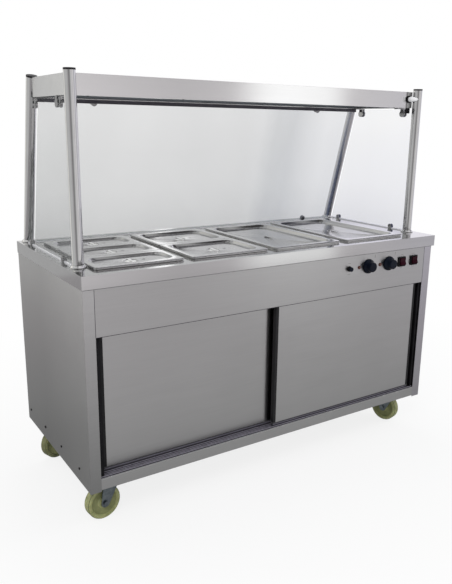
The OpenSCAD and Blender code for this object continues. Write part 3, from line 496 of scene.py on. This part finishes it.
# Polished metals: level, roughness and tint
POLISHED = {
    "lid_steel": (0.6, 0.16),
    "post_steel": (0.56, 0.11),
    "bright_steel": (0.34, 0.1),
    "ring_steel": (0.66, 0.16),
    "strap_steel": (0.6, 0.1),
    "shaded_wall_steel": (0.28, 0.16),
    "lip_shadow_steel": (0.17, 0.25, LAVENDER),
    "element_steel": (0.2, 0.45),
    "edge_highlight_steel": (0.75, 0.25),
}
# Mouldings and paints: darker and lighter colour, roughness and shine
PLASTICS = {
    # Near white: painted reflection of lights overhead on the finger dishes
    "dish_painted_glare": ((0.88, 0.88, 0.87), (0.96, 0.96, 0.95), 0.3),
    "dark_steel": (BLACK_DARK, BLACK_LIGHT, 0.4, 0.15),
    "jamb_grey": (BLACK_DARK, BLACK_LIGHT, 0.4, 0.08),
    "black_plastic": (BLACK_DARK, BLACK_LIGHT, 0.42, 0.15),
    "brass": ((0.5, 0.36, 0.14), (0.62, 0.46, 0.2), 0.3),
    "knob_plastic": ((0.003, 0.0045, 0.01), (0.006, 0.009, 0.017), 0.22, 0.11),
    "red_plastic": ((0.011, 0.0008, 0.003), (0.026, 0.0015, 0.007), 0.22, 0.1),
    "pale_plastic": ((0.6, 0.6, 0.55), (0.72, 0.72, 0.66), 0.5),
    "white_plastic": ((0.86, 0.86, 0.87), (0.95, 0.95, 0.96), 0.4),
    "lamp_ceramic": ((0.75, 0.75, 0.72), (0.86, 0.86, 0.83), 0.3),
    "dark_rubber": ((0.05, 0.045, 0.058), (0.1, 0.092, 0.11), 0.5, 0.25),
    "mark_grey": ((0.27, 0.265, 0.26), (0.32, 0.315, 0.31), 0.5, 0.2),
    # Painted shade on the wheels' tread edges and recessed webs
    "tread_shade": ((0.08, 0.086, 0.045), (0.14, 0.148, 0.075), 0.5, 0.2),
    "web_shade": ((0.15, 0.162, 0.07), (0.3, 0.31, 0.145), 0.5, 0.2),
    "seal_grey": ((0.84, 0.84, 0.87), (0.92, 0.92, 0.95), 0.35),
    # Painted shade in the gap under the doors, and the paler ridge on its front
    "gap_shade_grey": ((0.045, 0.042, 0.05), (0.07, 0.066, 0.078), 0.45, 0.2),
    "gap_shade_ridge": ((0.15, 0.14, 0.175), (0.2, 0.188, 0.23), 0.4, 0.3),
    # Pale strip that stands in for light on the hood's inner rear wall, painted light
    "wall_light_grey": ((0.22, 0.25, 0.28), (0.34, 0.37, 0.4), 0.35),
    "seam_shadow": ((0.03, 0.028, 0.035), (0.06, 0.056, 0.068), 0.6, 0.2),
}
MATERIALS = {
    "satin_steel": brushed_steel("satin_steel", 0.512, 0.3, 0.8),
    # Left side panel: a level below the front sheets as painted shade, with its painted front-edge
    # light and low shade
    "side_steel": brushed_steel("side_steel", 0.395, 0.34, 0.6, DEEP_BRUSHED, painted_front_light=1.35),
    "right_steel": brushed_steel("right_steel", 0.52, 0.3, 0.6, DEEP_BRUSHED, LAVENDER),
    "top_steel": brushed_steel("top_steel", 0.51, 0.09, 0.5),
    "hood_steel": brushed_steel("hood_steel", 0.72, 0.14, 1.0),
    "pan_steel": brushed_steel("pan_steel", 0.66, 0.3, 0.3),
    "track_aluminium": ribbed_track("track_aluminium"),
    "zinc_plate": zinc("zinc_plate"),
    "wheel_nylon": nylon("wheel_nylon", (0.2, 0.215, 0.085), (0.4, 0.41, 0.19)),
    # Darker nylon for the rear-left wheel: painted shade, as it stands in the cabinet's shadow
    "shaded_nylon": nylon("shaded_nylon", (0.1, 0.108, 0.04), (0.22, 0.226, 0.1)),
    "clear_glass": glass("clear_glass"),
    "amber_lens": lens("amber_lens", (0.085, 0.026, 0.018)),
    "door_edging": door_edging("door_edging", TRIM_FOOT),
}
MATERIALS.update({name: polished_steel(name, *spec) for name, spec in POLISHED.items()})
MATERIALS.update({name: plastic(name, *spec) for name, spec in PLASTICS.items()})
# Nodes whose finish isn't the one of their slot's name
NODE_FINISH = {
    "worktop": "top_steel",
    "left_side_panel": "side_steel",
    "right_side_panel": "right_steel",
    "hood_shell": "hood_steel",
    "post_feet": "ring_steel",
    # Rear-left wheel gets painted shade for the cabinet's shadow over it
    "wheel_rl": "shaded_nylon",
    "left_door_trim": "door_edging",
    "right_door_trim": "door_edging",
}


def dress_nodes():
    """Each CAD node gets its own finish or that of its slot."""
    slots = {s["node"]: s["material_slot"] for s in frame["record"]["subparts"]}
    for name, obj in nodes.items():
        obj.data.materials.clear()
        obj.data.materials.append(MATERIALS[NODE_FINISH.get(name, slots[name])])


# Mesh helpers


def box_mm(node):
    """Lowest and highest corner of a CAD node, in millimetres."""
    return [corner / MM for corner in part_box(node)]


def add_mesh(name, verts, faces, finish, body, smooth=True):
    mesh = bpy.data.meshes.new(name)
    mesh.from_pydata([tuple(v) for v in verts], [], faces)
    mesh.update()
    bm = bmesh.new()
    bm.from_mesh(mesh)
    bmesh.ops.recalc_face_normals(bm, faces=bm.faces)
    bm.to_mesh(mesh)
    bm.free()
    for p in mesh.polygons:
        p.use_smooth = smooth
    obj = bpy.data.objects.new(name, mesh)
    bpy.context.scene.collection.objects.link(obj)
    mesh.materials.append(MATERIALS[finish])
    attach(obj, body)
    return obj


def arc(start, end, steps):
    """Values from start to end in even steps, both included."""
    return [start + (end - start) * i / (steps - 1) for i in range(steps)]


def round_rect(cx, cy, w, d, r, z, per_corner=8):
    """Points of a rounded rectangle, starting at the right side."""
    points = []
    for corner in range(4):
        x = cx + (w / 2 - r) * (1 if corner in (0, 3) else -1)
        y = cy + (d / 2 - r) * (1 if corner in (0, 1) else -1)
        for i in range(per_corner):
            a = math.radians(90 * (corner + (i + 0.5) / per_corner))
            points.append((x + r * math.cos(a), y + r * math.sin(a), z))
    return points


def circle(cx, cy, z, r, n, shift=0.0):
    """Points of a level circle, turned by a share of one step."""
    turns = [2 * math.pi * (i + shift) / n for i in range(n)]
    return [(cx + r * math.cos(a), cy + r * math.sin(a), z) for a in turns]


def hoop(centre, side, up, r, n):
    """Points of a circle in the plane of two directions."""
    turns = [2 * math.pi * i / n for i in range(n)]
    return [centre + r * (side * math.cos(a) + up * math.sin(a)) for a in turns]


def bridge(loops, close_end=True):
    """Quads between loops of the same length, with the last loop filled."""
    n = len(loops[0])
    verts = [p for loop in loops for p in loop]
    faces = []
    for k in range(len(loops) - 1):
        for i in range(n):
            j = (i + 1) % n
            faces.append((k * n + i, k * n + j, (k + 1) * n + j, (k + 1) * n + i))
    if close_end:
        faces.append(tuple((len(loops) - 1) * n + i for i in range(n)))
    return verts, faces


def slab(name, low, high, finish, body="counter"):
    """Box from corner to corner, in millimetres."""
    ends = [(a * MM, b * MM) for a, b in zip(low, high)]
    verts = [(x, y, z) for x in ends[0] for y in ends[1] for z in ends[2]]
    faces = [(0, 1, 3, 2), (4, 6, 7, 5), (0, 4, 5, 1), (2, 3, 7, 6), (0, 2, 6, 4), (1, 5, 7, 3)]
    obj = add_mesh(name, verts, faces, finish, body, smooth=False)


def tube(name, path, radii, finish, sides=20):
    """Round bar along a path of points in millimetres, with a radius for each point."""
    points = [Vector(p) * MM for p in path]
    loops = []
    for k, p in enumerate(points):
        run = (points[min(k + 1, len(points) - 1)] - points[max(k - 1, 0)]).normalized()
        side = run.cross(Vector((0, 0, 1))).normalized()
        loops.append(hoop(p, side, side.cross(run), radii[k] * MM, sides))
    verts, faces = bridge(loops)
    faces.append(tuple(reversed(range(sides))))
    obj = add_mesh(name, verts, faces, finish, "counter")
    return obj


# Lids


def lid_profile(sink):
    """(inset, height from the rim) of each loop, from the lip's lower edge to the recess floor."""
    rows = [(0.0, -LID_LIP), (0.0, -LID_EDGE)]
    rows += [
        (LID_EDGE - LID_EDGE * math.cos(a), -LID_EDGE + LID_EDGE * math.sin(a))
        for a in arc(0.3, math.pi / 2, 5)
    ]
    rows += [
        (LID_RIM - LID_STEP + LID_STEP * math.sin(a), -LID_STEP + LID_STEP * math.cos(a))
        for a in arc(0.0, math.pi / 2, 6)
    ]
    inner = LID_RIM + LID_DRAFT + LID_FILLET
    rows += [
        (inner - LID_FILLET * math.cos(a), -sink + LID_FILLET - LID_FILLET * math.sin(a))
        for a in arc(0.15, math.pi / 2, 6)
    ]
    return rows


def dish_profile():
    """(radius, height) of the finger dish: a rolled rim that runs into a spherical cap."""
    ball = (DISH_R ** 2 + DISH_DEEP ** 2) / (2 * DISH_DEEP)
    widest = math.asin(DISH_R / ball)
    rows = [(DISH_R + 3.5 * MM, 0.0), (DISH_R + 1.5 * MM, -0.3 * MM)]
    rows += [
        (ball * math.sin(a), ball - DISH_DEEP - ball * math.cos(a))
        for a in arc(widest * 0.97, 0.06, 9)
    ]
    return rows


def make_lid(node, cells):
    low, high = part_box(node)
    top = high.z
    cx, cy = (low.x + high.x) / 2, (low.y + high.y) / 2
    w, d = high.x - low.x, high.y - low.y
    sink = LID_SINK[cells]
    loops = []
    for inset, dz in lid_profile(sink):
        radius = LID_RECESS_CORNER if inset > LID_RIM / 2 else LID_CORNER
        loops.append(round_rect(cx, cy, w - 2 * inset, d - 2 * inset, radius, top + dz))
    n = len(loops[0])
    floor = top - sink
    loops += [circle(cx, cy, floor + dz, r, n, shift=0.5) for r, dz in dish_profile()]
    verts, faces = bridge(loops)
    lid = add_mesh(node + "_pressing", verts, faces, "lid_steel", node)
    # On lids of more than one cell the dish is painted white as a reflection of lights overhead
    finish_lid(lid, (cx, cy), (w, d), top, sink, "dish_painted_glare" if cells > 1 else "lid_steel")
    sheet = lid.modifiers.new("sheet", "SOLIDIFY")
    sheet.thickness = LID_SHEET
    sheet.offset = -1
    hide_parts(node)
    # The strap on those lids gets the same painted reflection
    strap(node, cx, cy, floor, "dish_painted_glare" if cells > 1 else "strap_steel")
    if cells > 1:
        vent(node, cx + VENT_OFF, cy, floor)


def finish_lid(lid, middle, size, top, sink, dish):
    """Own finishes for the dish (painted reflection on lids of more than one cell), the recess's
    rear wall (painted shade), the line under the rim (painted shadow) and the lip (painted light).
    """
    for finish in (dish, "shaded_wall_steel", "lip_shadow_steel", "edge_highlight_steel"):
        lid.data.materials.append(MATERIALS[finish])
    (cx, cy), (w, d) = middle, size
    rear_wall = cy + d / 2 - LID_RIM - LID_DRAFT - LID_FILLET - 1 * MM
    for face in lid.data.polygons:
        at = face.center
        depth = top - at.z
        past_side = max(abs(at.x - cx) - w / 2, abs(at.y - cy) - d / 2)
        in_wall = at.y > rear_wall and LINE_TOP < depth < sink - SHADE_FOOT
        if math.hypot(at.x - cx, at.y - cy) < DISH_SHARE * DISH_R:
            face.material_index = 1
        # Painted shade on the recess's rear wall
        elif in_wall and face.normal.y < -SHADE_FACING:
            face.material_index = 2
        # Painted shadow as a dark line under the rim, and painted light on the lip below it
        elif depth > LINE_TOP and past_side > -LINE_WIDE:
            face.material_index = 3 if depth < LINE_FOOT else 4


def strap(node, cx, cy, floor, finish):
    """Bent strip across the finger dish, spot-welded at both ends."""
    half, wide, thick, rise = DISH_R + 4 * MM, 4 * MM, 0.9 * MM, 1.0 * MM
    verts, faces = [], []
    steps = 12
    for i in range(steps + 1):
        t = -1 + 2 * i / steps
        z = floor + 0.3 * MM + rise * (1 - abs(t) ** 6)
        for x, dz in ((-wide, 0), (wide, 0), (wide, thick), (-wide, thick)):
            verts.append((cx + x, cy + half * t, z + dz))
    for i in range(steps):
        a = 4 * i
        for k in range(4):
            m = (k + 1) % 4
            faces.append((a + k, a + m, a + 4 + m, a + 4 + k))
    faces.append((0, 1, 2, 3))
    faces.append(tuple(4 * steps + k for k in (3, 2, 1, 0)))
    obj = add_mesh(node + "_strap", verts, faces, finish, node, smooth=False)


def vent(node, cx, cy, floor):
    """Small hole with a rolled rim; the hole is a black disc on the lid's floor, painted shade."""
    n = 24
    rows = [(6.2, 0.1), (5.4, 0.8), (4.6, 0.7), (4.2, 0.2)]
    loops = [circle(cx, cy, floor + dz * MM, r * MM, n) for r, dz in rows]
    verts, faces = bridge(loops, close_end=False)
    ring = add_mesh(node + "_vent_rim", verts, faces, "lid_steel", node)
    # Black disc in place of the hole: painted shade
    disc = circle(cx, cy, floor + 0.25 * MM, 4.3 * MM, n)
    hole = add_mesh(node + "_vent_hole", disc, [tuple(range(n))], "black_plastic", node)


# Trim of the counter, in millimetres


def make_seams():
    """Strips of painted shadow in the joints between the panels, and a painted highlight along the
    front edge of the bottom rail.
    """
    under = box_mm("worktop")[0].z
    low, high = box_mm("control_fascia")
    west, east = box_mm("left_side_panel")[0].x, box_mm("right_side_panel")[1].x
    south, north = low.y, box_mm("rear_panel")[1].y
    # A joint on the face of a panel reaches SEAM_PROUD to both sides of it
    left, right, front, rear = (
        (face - SEAM_PROUD, face + SEAM_PROUD) for face in (west, east, south, north)
    )
    line, fascia = (under - SEAM_W, under), (low.z, under)
    # Range of each joint along X, Y and Z
    seams = {
        "top_front": ((west, east), front, line),
        "top_left": (left, (south, north), line),
        "top_right": (right, (south, north), line),
        "top_rear": ((west, east), rear, line),
        "fascia_left": ((low.x - SEAM_W / 2, low.x + SEAM_W / 2), front, fascia),
        "fascia_right": ((high.x - SEAM_W / 2, high.x + SEAM_W / 2), front, fascia),
        "fascia_low": ((low.x, high.x), front, (low.z - SEAM_W, low.z)),
    }
    for name, ranges in seams.items():
        start, end = zip(*ranges)
        slab("seam_" + name, start, end, "seam_shadow")
    # Painted highlight along the bottom rail's front edge
    tray_low, tray_high = box_mm("base_tray")
    start = (low.x, tray_low.y - 0.3, tray_high.z - 2)
    end = (high.x, tray_low.y + 0.2, tray_high.z + 0.2)
    slab("rail_edge", start, end, "edge_highlight_steel")


def make_conduit():
    """White elbow with a black locknut where it leaves the hood; the locknut is drawn wide, so its
    black also stands in for the dark reflection and shade around the elbow, as painted shade.
    """
    low, high = box_mm("cable_conduit")
    hood = box_mm("hood_shell")[0].y
    x, y, z = low.x + NUT_R, low.y + PIPE_R, (low.z + high.z) / 2
    corner = [
        (x + ELBOW_R - ELBOW_R * math.cos(a), y + ELBOW_R - ELBOW_R * math.sin(a), z)
        for a in arc(0.0, math.pi / 2, 7)
    ]
    path = [(x, hood - 1, z), (x, hood - 9, z)] + corner + [(high.x, y, z)]
    radii = [9.5, 10.5] + arc(11.6, 8.0, 7) + [7.6]
    elbow = tube("conduit_elbow", path, radii, "white_plastic")
    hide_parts("cable_conduit")
    nut = [(x, hood - out, z) for out in (0.2, 1, 5, 6)]
    radii = [NUT_R, NUT_R + 1, NUT_R + 1, NUT_R - 0.5]
    tube("conduit_locknut", nut, radii, "black_plastic", sides=12)


def make_hood_trim():
    """Pale strip painted as the light that the hood's polished inner rear wall shows behind the
    quartz lamps, and the dark gasket of the rear pane's top edge.
    """
    low, high = box_mm("hood_shell")
    line = box_mm("end_glasses")[1].z + HOOD_LINE
    inner = high.y - HOOD_SHEET
    start = (low.x + 3, inner - 0.8, line + 1.5)
    end = (high.x - 3, inner - 0.2, line + 22)
    slab("rear_wall_painted_light", start, end, "wall_light_grey")
    start = (low.x + 1, inner - 0.8, low.z + 0.3)
    end = (high.x - 1, inner - 0.1, line - 0.5)
    slab("lip_gasket", start, end, "dark_rubber")


def make_seals():
    """Thin seal between each pane and the worktop."""
    foot = box_mm("worktop")[1].z + SEAL_GAP
    low, high = box_mm("end_glasses")
    for side, x in (("left", low.x), ("right", high.x - PANE)):
        start = (x - SEAL_PROUD, low.y + 2, foot)
        end = (x + PANE + SEAL_PROUD, high.y - 4, low.z + SEAL_LAP)
        slab("end_seal_" + side, start, end, "seal_grey")
    low, high = box_mm("rear_glass")
    start, end = (low.x + 2, high.y - 5, foot), (high.x - 2, high.y - 2, low.z + SEAL_LAP)
    slab("rear_seal", start, end, "seal_grey")


def make_gap_shades():
    """Dark sheet in the gap under each door, painted shade for the shadow there, with a paler ridge
    on its front.
    """
    for door in ("left_door", "right_door"):
        low, high = box_mm(door + "_trim")
        top = low.z + 14
        start, end = (low.x + 2, low.y + 2.5, low.z + 1.6), (high.x - 2, high.y - 2.5, top)
        slab(door + "_gap_shade", start, end, "gap_shade_grey", door)
        start, end = (low.x + 1, low.y + 1.2, top - 4.5), (high.x - 1, low.y + 3, top - 1.5)
        slab(door + "_gap_shade_ridge", start, end, "gap_shade_ridge", door)


def make_rivets():
    """Dark heads over the blind rivets of the left side panel."""
    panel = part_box("left_side_panel")[0].x
    fasteners = nodes["fasteners"]
    # The third rivet lies across the border of two cells, so it gets two heads, 4 mm apart
    heads = {}
    for vertex in fasteners.data.vertices:
        at = fasteners.matrix_world @ vertex.co
        if at.x < panel - 0.2 * MM:
            heads.setdefault((round(at.y / RIVET_CELL), round(at.z / RIVET_CELL)), []).append(at)
    for index, points in enumerate(sorted(heads.values(), key=lambda group: group[0].y)):
        middle = sum(points, Vector()) / len(points) / MM
        path = [(panel / MM - out, middle.y, middle.z) for out, _ in RIVET_HEAD]
        radii = [r for _, r in RIVET_HEAD]
        tube(f"rivet_head_{index}", path, radii, "dark_steel")


def make_marks():
    """Small bare printed dashes beside the controls."""
    front = box_mm("control_fascia")[0].y
    out, sunk = front - MARK_PROUD, front + MARK_SUNK
    for name in ("knob_left", "knob_right"):
        high = box_mm(name)[1]
        x, z = high.x + TICK_SIDE, high.z + TICK_OVER
        end = (x + TICK_W, sunk, z + TICK_H)
        slab(name + "_mark", (x, out, z), end, "mark_grey")
    for name in ("rocker_left", "rocker_right", "push_button"):
        low, high = box_mm(name)
        x = (low.x + high.x) / 2
        for side, z in (("over", high.z + DASH_GAP), ("under", low.z - DASH_GAP - DASH_H)):
            start, end = (x - DASH_W / 2, out, z), (x + DASH_W / 2, sunk, z + DASH_H)
            slab(f"{name}_mark_{side}", start, end, "mark_grey")


# Wheels


def make_wheel_rings():
    """Rings of painted shade on the edge of each tread and around each wheel's recessed web."""
    for joint in frame["record"]["behaviour"]["joints"]:
        if not joint["name"].endswith("_roll"):
            continue
        for side, sign in (("a", -1), ("b", 1)):
            for finish, rows in WHEEL_RINGS.items():
                name = f"{joint['child']}_{finish}_{side}"
                wheel_ring(name, joint, [(r * MM, sign * out * MM) for r, out in rows], finish)


def wheel_ring(name, joint, rows, finish):
    """Ring around a wheel's axis through (radius, distance along the axis) rows."""
    axis, centre, up = Vector(joint["axis"]), Vector(joint["pos_m"]), Vector((0, 0, 1))
    loops = [hoop(centre + out * axis, axis.cross(up), up, r, WHEEL_SIDES) for r, out in rows]
    verts, faces = bridge(loops, close_end=False)
    add_mesh(name, verts, faces, finish, joint["child"])


# Stage, world and camera


def make_floor():
    """Pale floor: white to the camera apart from the shadow; to metal it glows with painted shade,
    darker near the counter.
    """
    mesh = bpy.data.meshes.new("floor")
    corners = [(x * FLOOR_HALF, y * FLOOR_HALF, 0) for x, y in ((-1, -1), (1, -1), (1, 1), (-1, 1))]
    mesh.from_pydata(corners, [], [(0, 1, 2, 3)])
    floor = bpy.data.objects.new("floor", mesh)
    bpy.context.scene.collection.objects.link(floor)
    g = Graph.material("floor")
    g.set(Base_Color=(0.88, 0.88, 0.88, 1), Roughness=0.9, Specular_IOR_Level=0.0)
    place = g.node("ShaderNodeNewGeometry").outputs["Position"]
    outside = g.vector("SUBTRACT", g.vector("ABSOLUTE", place), (cad_box[1].x, cad_box[1].y, 0))
    away = g.vector("LENGTH", g.vector("MAXIMUM", outside, (0, 0, 0)))
    path = g.node("ShaderNodeLightPath")
    white = g.node("ShaderNodeEmission", Color=(1, 1, 1, 1))
    pale = g.node("ShaderNodeEmission")
    whiten = g.spread(away, FLOOR_WHITE, 1.0, WHITE_FROM, WHITE_TO)
    seen = g.shader_mix(whiten, g.bsdf.outputs[0], white.outputs[0])
    direct = g.shader_mix(path.outputs["Is Camera Ray"], g.bsdf.outputs[0], seen)
    x, _, _ = g.split(place)
    # Painted shade that metal mirrors in the floor, by distance from the counter and from left to
    # right
    sides = g.ramp(g.spread(x, 0.0, 1.0, FLOOR_LEFT, FLOOR_RIGHT), FLOOR_SIDES)
    tones = g.ramp(g.spread(away, 0.0, 1.0, 0.0, FLOOR_FAR), FLOOR_TONES)
    g.link(g.blend(1.0, tones, sides, "MULTIPLY"), pale.inputs["Color"])
    glossy = g.math("MAXIMUM", path.outputs["Is Glossy Ray"], path.outputs["Is Transmission Ray"])
    g.link(g.shader_mix(glossy, direct, pale.outputs[0]), g.out.inputs["Surface"])
    mesh.materials.append(g.mat)


def make_world():
    """White behind the object; metal also sees the studio's soft flags, by direction."""
    world = bpy.data.worlds.new("studio")
    bpy.context.scene.world = world
    world.use_nodes = True
    g = Graph(world.node_tree)
    g.tree.nodes.clear()
    out = g.node("ShaderNodeOutputWorld")
    path = g.node("ShaderNodeLightPath")
    white = g.node("ShaderNodeBackground", Color=(1, 1, 1, 1))
    fill = g.node("ShaderNodeBackground", Color=(0.98, 0.99, 1.0, 1), Strength=FILL)
    flags = g.node("ShaderNodeBackground")
    x, y, z = g.xyz("Generated")
    turn = g.math("ARCTAN2", y, x)
    ahead = [((a + 180) / 180, level, tone) for a, level, tone in FRONT_AROUND]
    behind = [(a / 180, level, tone) for a, level, tone in REAR_AROUND]
    around = g.blend(
        g.math("GREATER_THAN", y, 0.0),
        g.ramp(g.spread(turn, 0.0, 1.0, -math.pi, 0.0), ahead),
        g.ramp(g.spread(turn, 0.0, 1.0, 0.0, math.pi), behind),
    )
    steps = [((sine + 1) / 2, level, NEUTRAL) for sine, level in FRONT_RISE]
    rise = g.ramp(g.spread(z, 0.0, 1.0, -1.0, 1.0), steps)
    start, end = (math.radians(a) for a in PANEL)
    panel = g.math("MULTIPLY", g.math("GREATER_THAN", turn, start), g.math("LESS_THAN", turn, end))
    banded = g.math("MULTIPLY", g.spread(y, 1.0, 0.0, *BAND_FADE), g.math("SUBTRACT", 1.0, panel))
    g.link(g.blend(1.0, around, g.blend(banded, NEUTRAL, rise), "MULTIPLY"), flags.inputs["Color"])
    mirrored = g.shader_mix(path.outputs["Is Glossy Ray"], fill.outputs[0], flags.outputs[0])
    direct = g.math("MAXIMUM", path.outputs["Is Camera Ray"], path.outputs["Is Transmission Ray"])
    g.link(g.shader_mix(direct, mirrored, white.outputs[0]), out.inputs["Surface"])


def make_lights():
    """Soft lamps that metal doesn't mirror."""
    for name, at, aim, size, power in LAMPS:
        data = bpy.data.lights.new(name, "AREA")
        data.shape = "RECTANGLE"
        data.size, data.size_y = size
        data.energy = power
        lamp = bpy.data.objects.new(name, data)
        bpy.context.scene.collection.objects.link(lamp)
        lamp.location = at
        lamp.rotation_euler = (Vector(aim) - Vector(at)).to_track_quat("-Z", "Y").to_euler()
        lamp.visible_glossy = False


def make_camera():
    """Camera with the photograph's place, turn, focal length and centre."""
    data = bpy.data.cameras.new("camera")
    cam = bpy.data.objects.new("camera", data)
    bpy.context.scene.collection.objects.link(cam)
    a, e, r = (math.radians(v) for v in (CAMERA_AZIMUTH, CAMERA_ELEVATION, CAMERA_ROLL))
    back = Vector((math.sin(a) * math.cos(e), -math.cos(a) * math.cos(e), math.sin(e)))
    right = Vector((math.cos(a), math.sin(a), 0))
    up = back.cross(right)
    rolled_right = math.cos(r) * right + math.sin(r) * up
    rolled_up = -math.sin(r) * right + math.cos(r) * up
    turn = Matrix((rolled_right, rolled_up, back)).transposed()
    cam.matrix_world = Matrix.Translation(CAMERA_AT) @ turn.to_4x4()
    data.sensor_fit = "AUTO"
    data.sensor_width = 36
    data.lens = CAMERA_FOCAL_PX / PHOTO_H * data.sensor_width
    data.shift_x = -(CAMERA_CENTRE_PX[0] - PHOTO_W / 2) / PHOTO_H
    data.shift_y = (CAMERA_CENTRE_PX[1] - PHOTO_H / 2) / PHOTO_H
    data.clip_end = 60
    bpy.context.scene.camera = cam


dress_nodes()
for lid_node, lid_cells in LIDS.items():
    make_lid(lid_node, lid_cells)
make_seams()
make_conduit()
make_hood_trim()
make_seals()
make_gap_shades()
make_rivets()
make_wheel_rings()
make_marks()
make_floor()
make_world()
make_lights()
make_camera()
bpy.context.scene.view_settings.view_transform = "Standard"
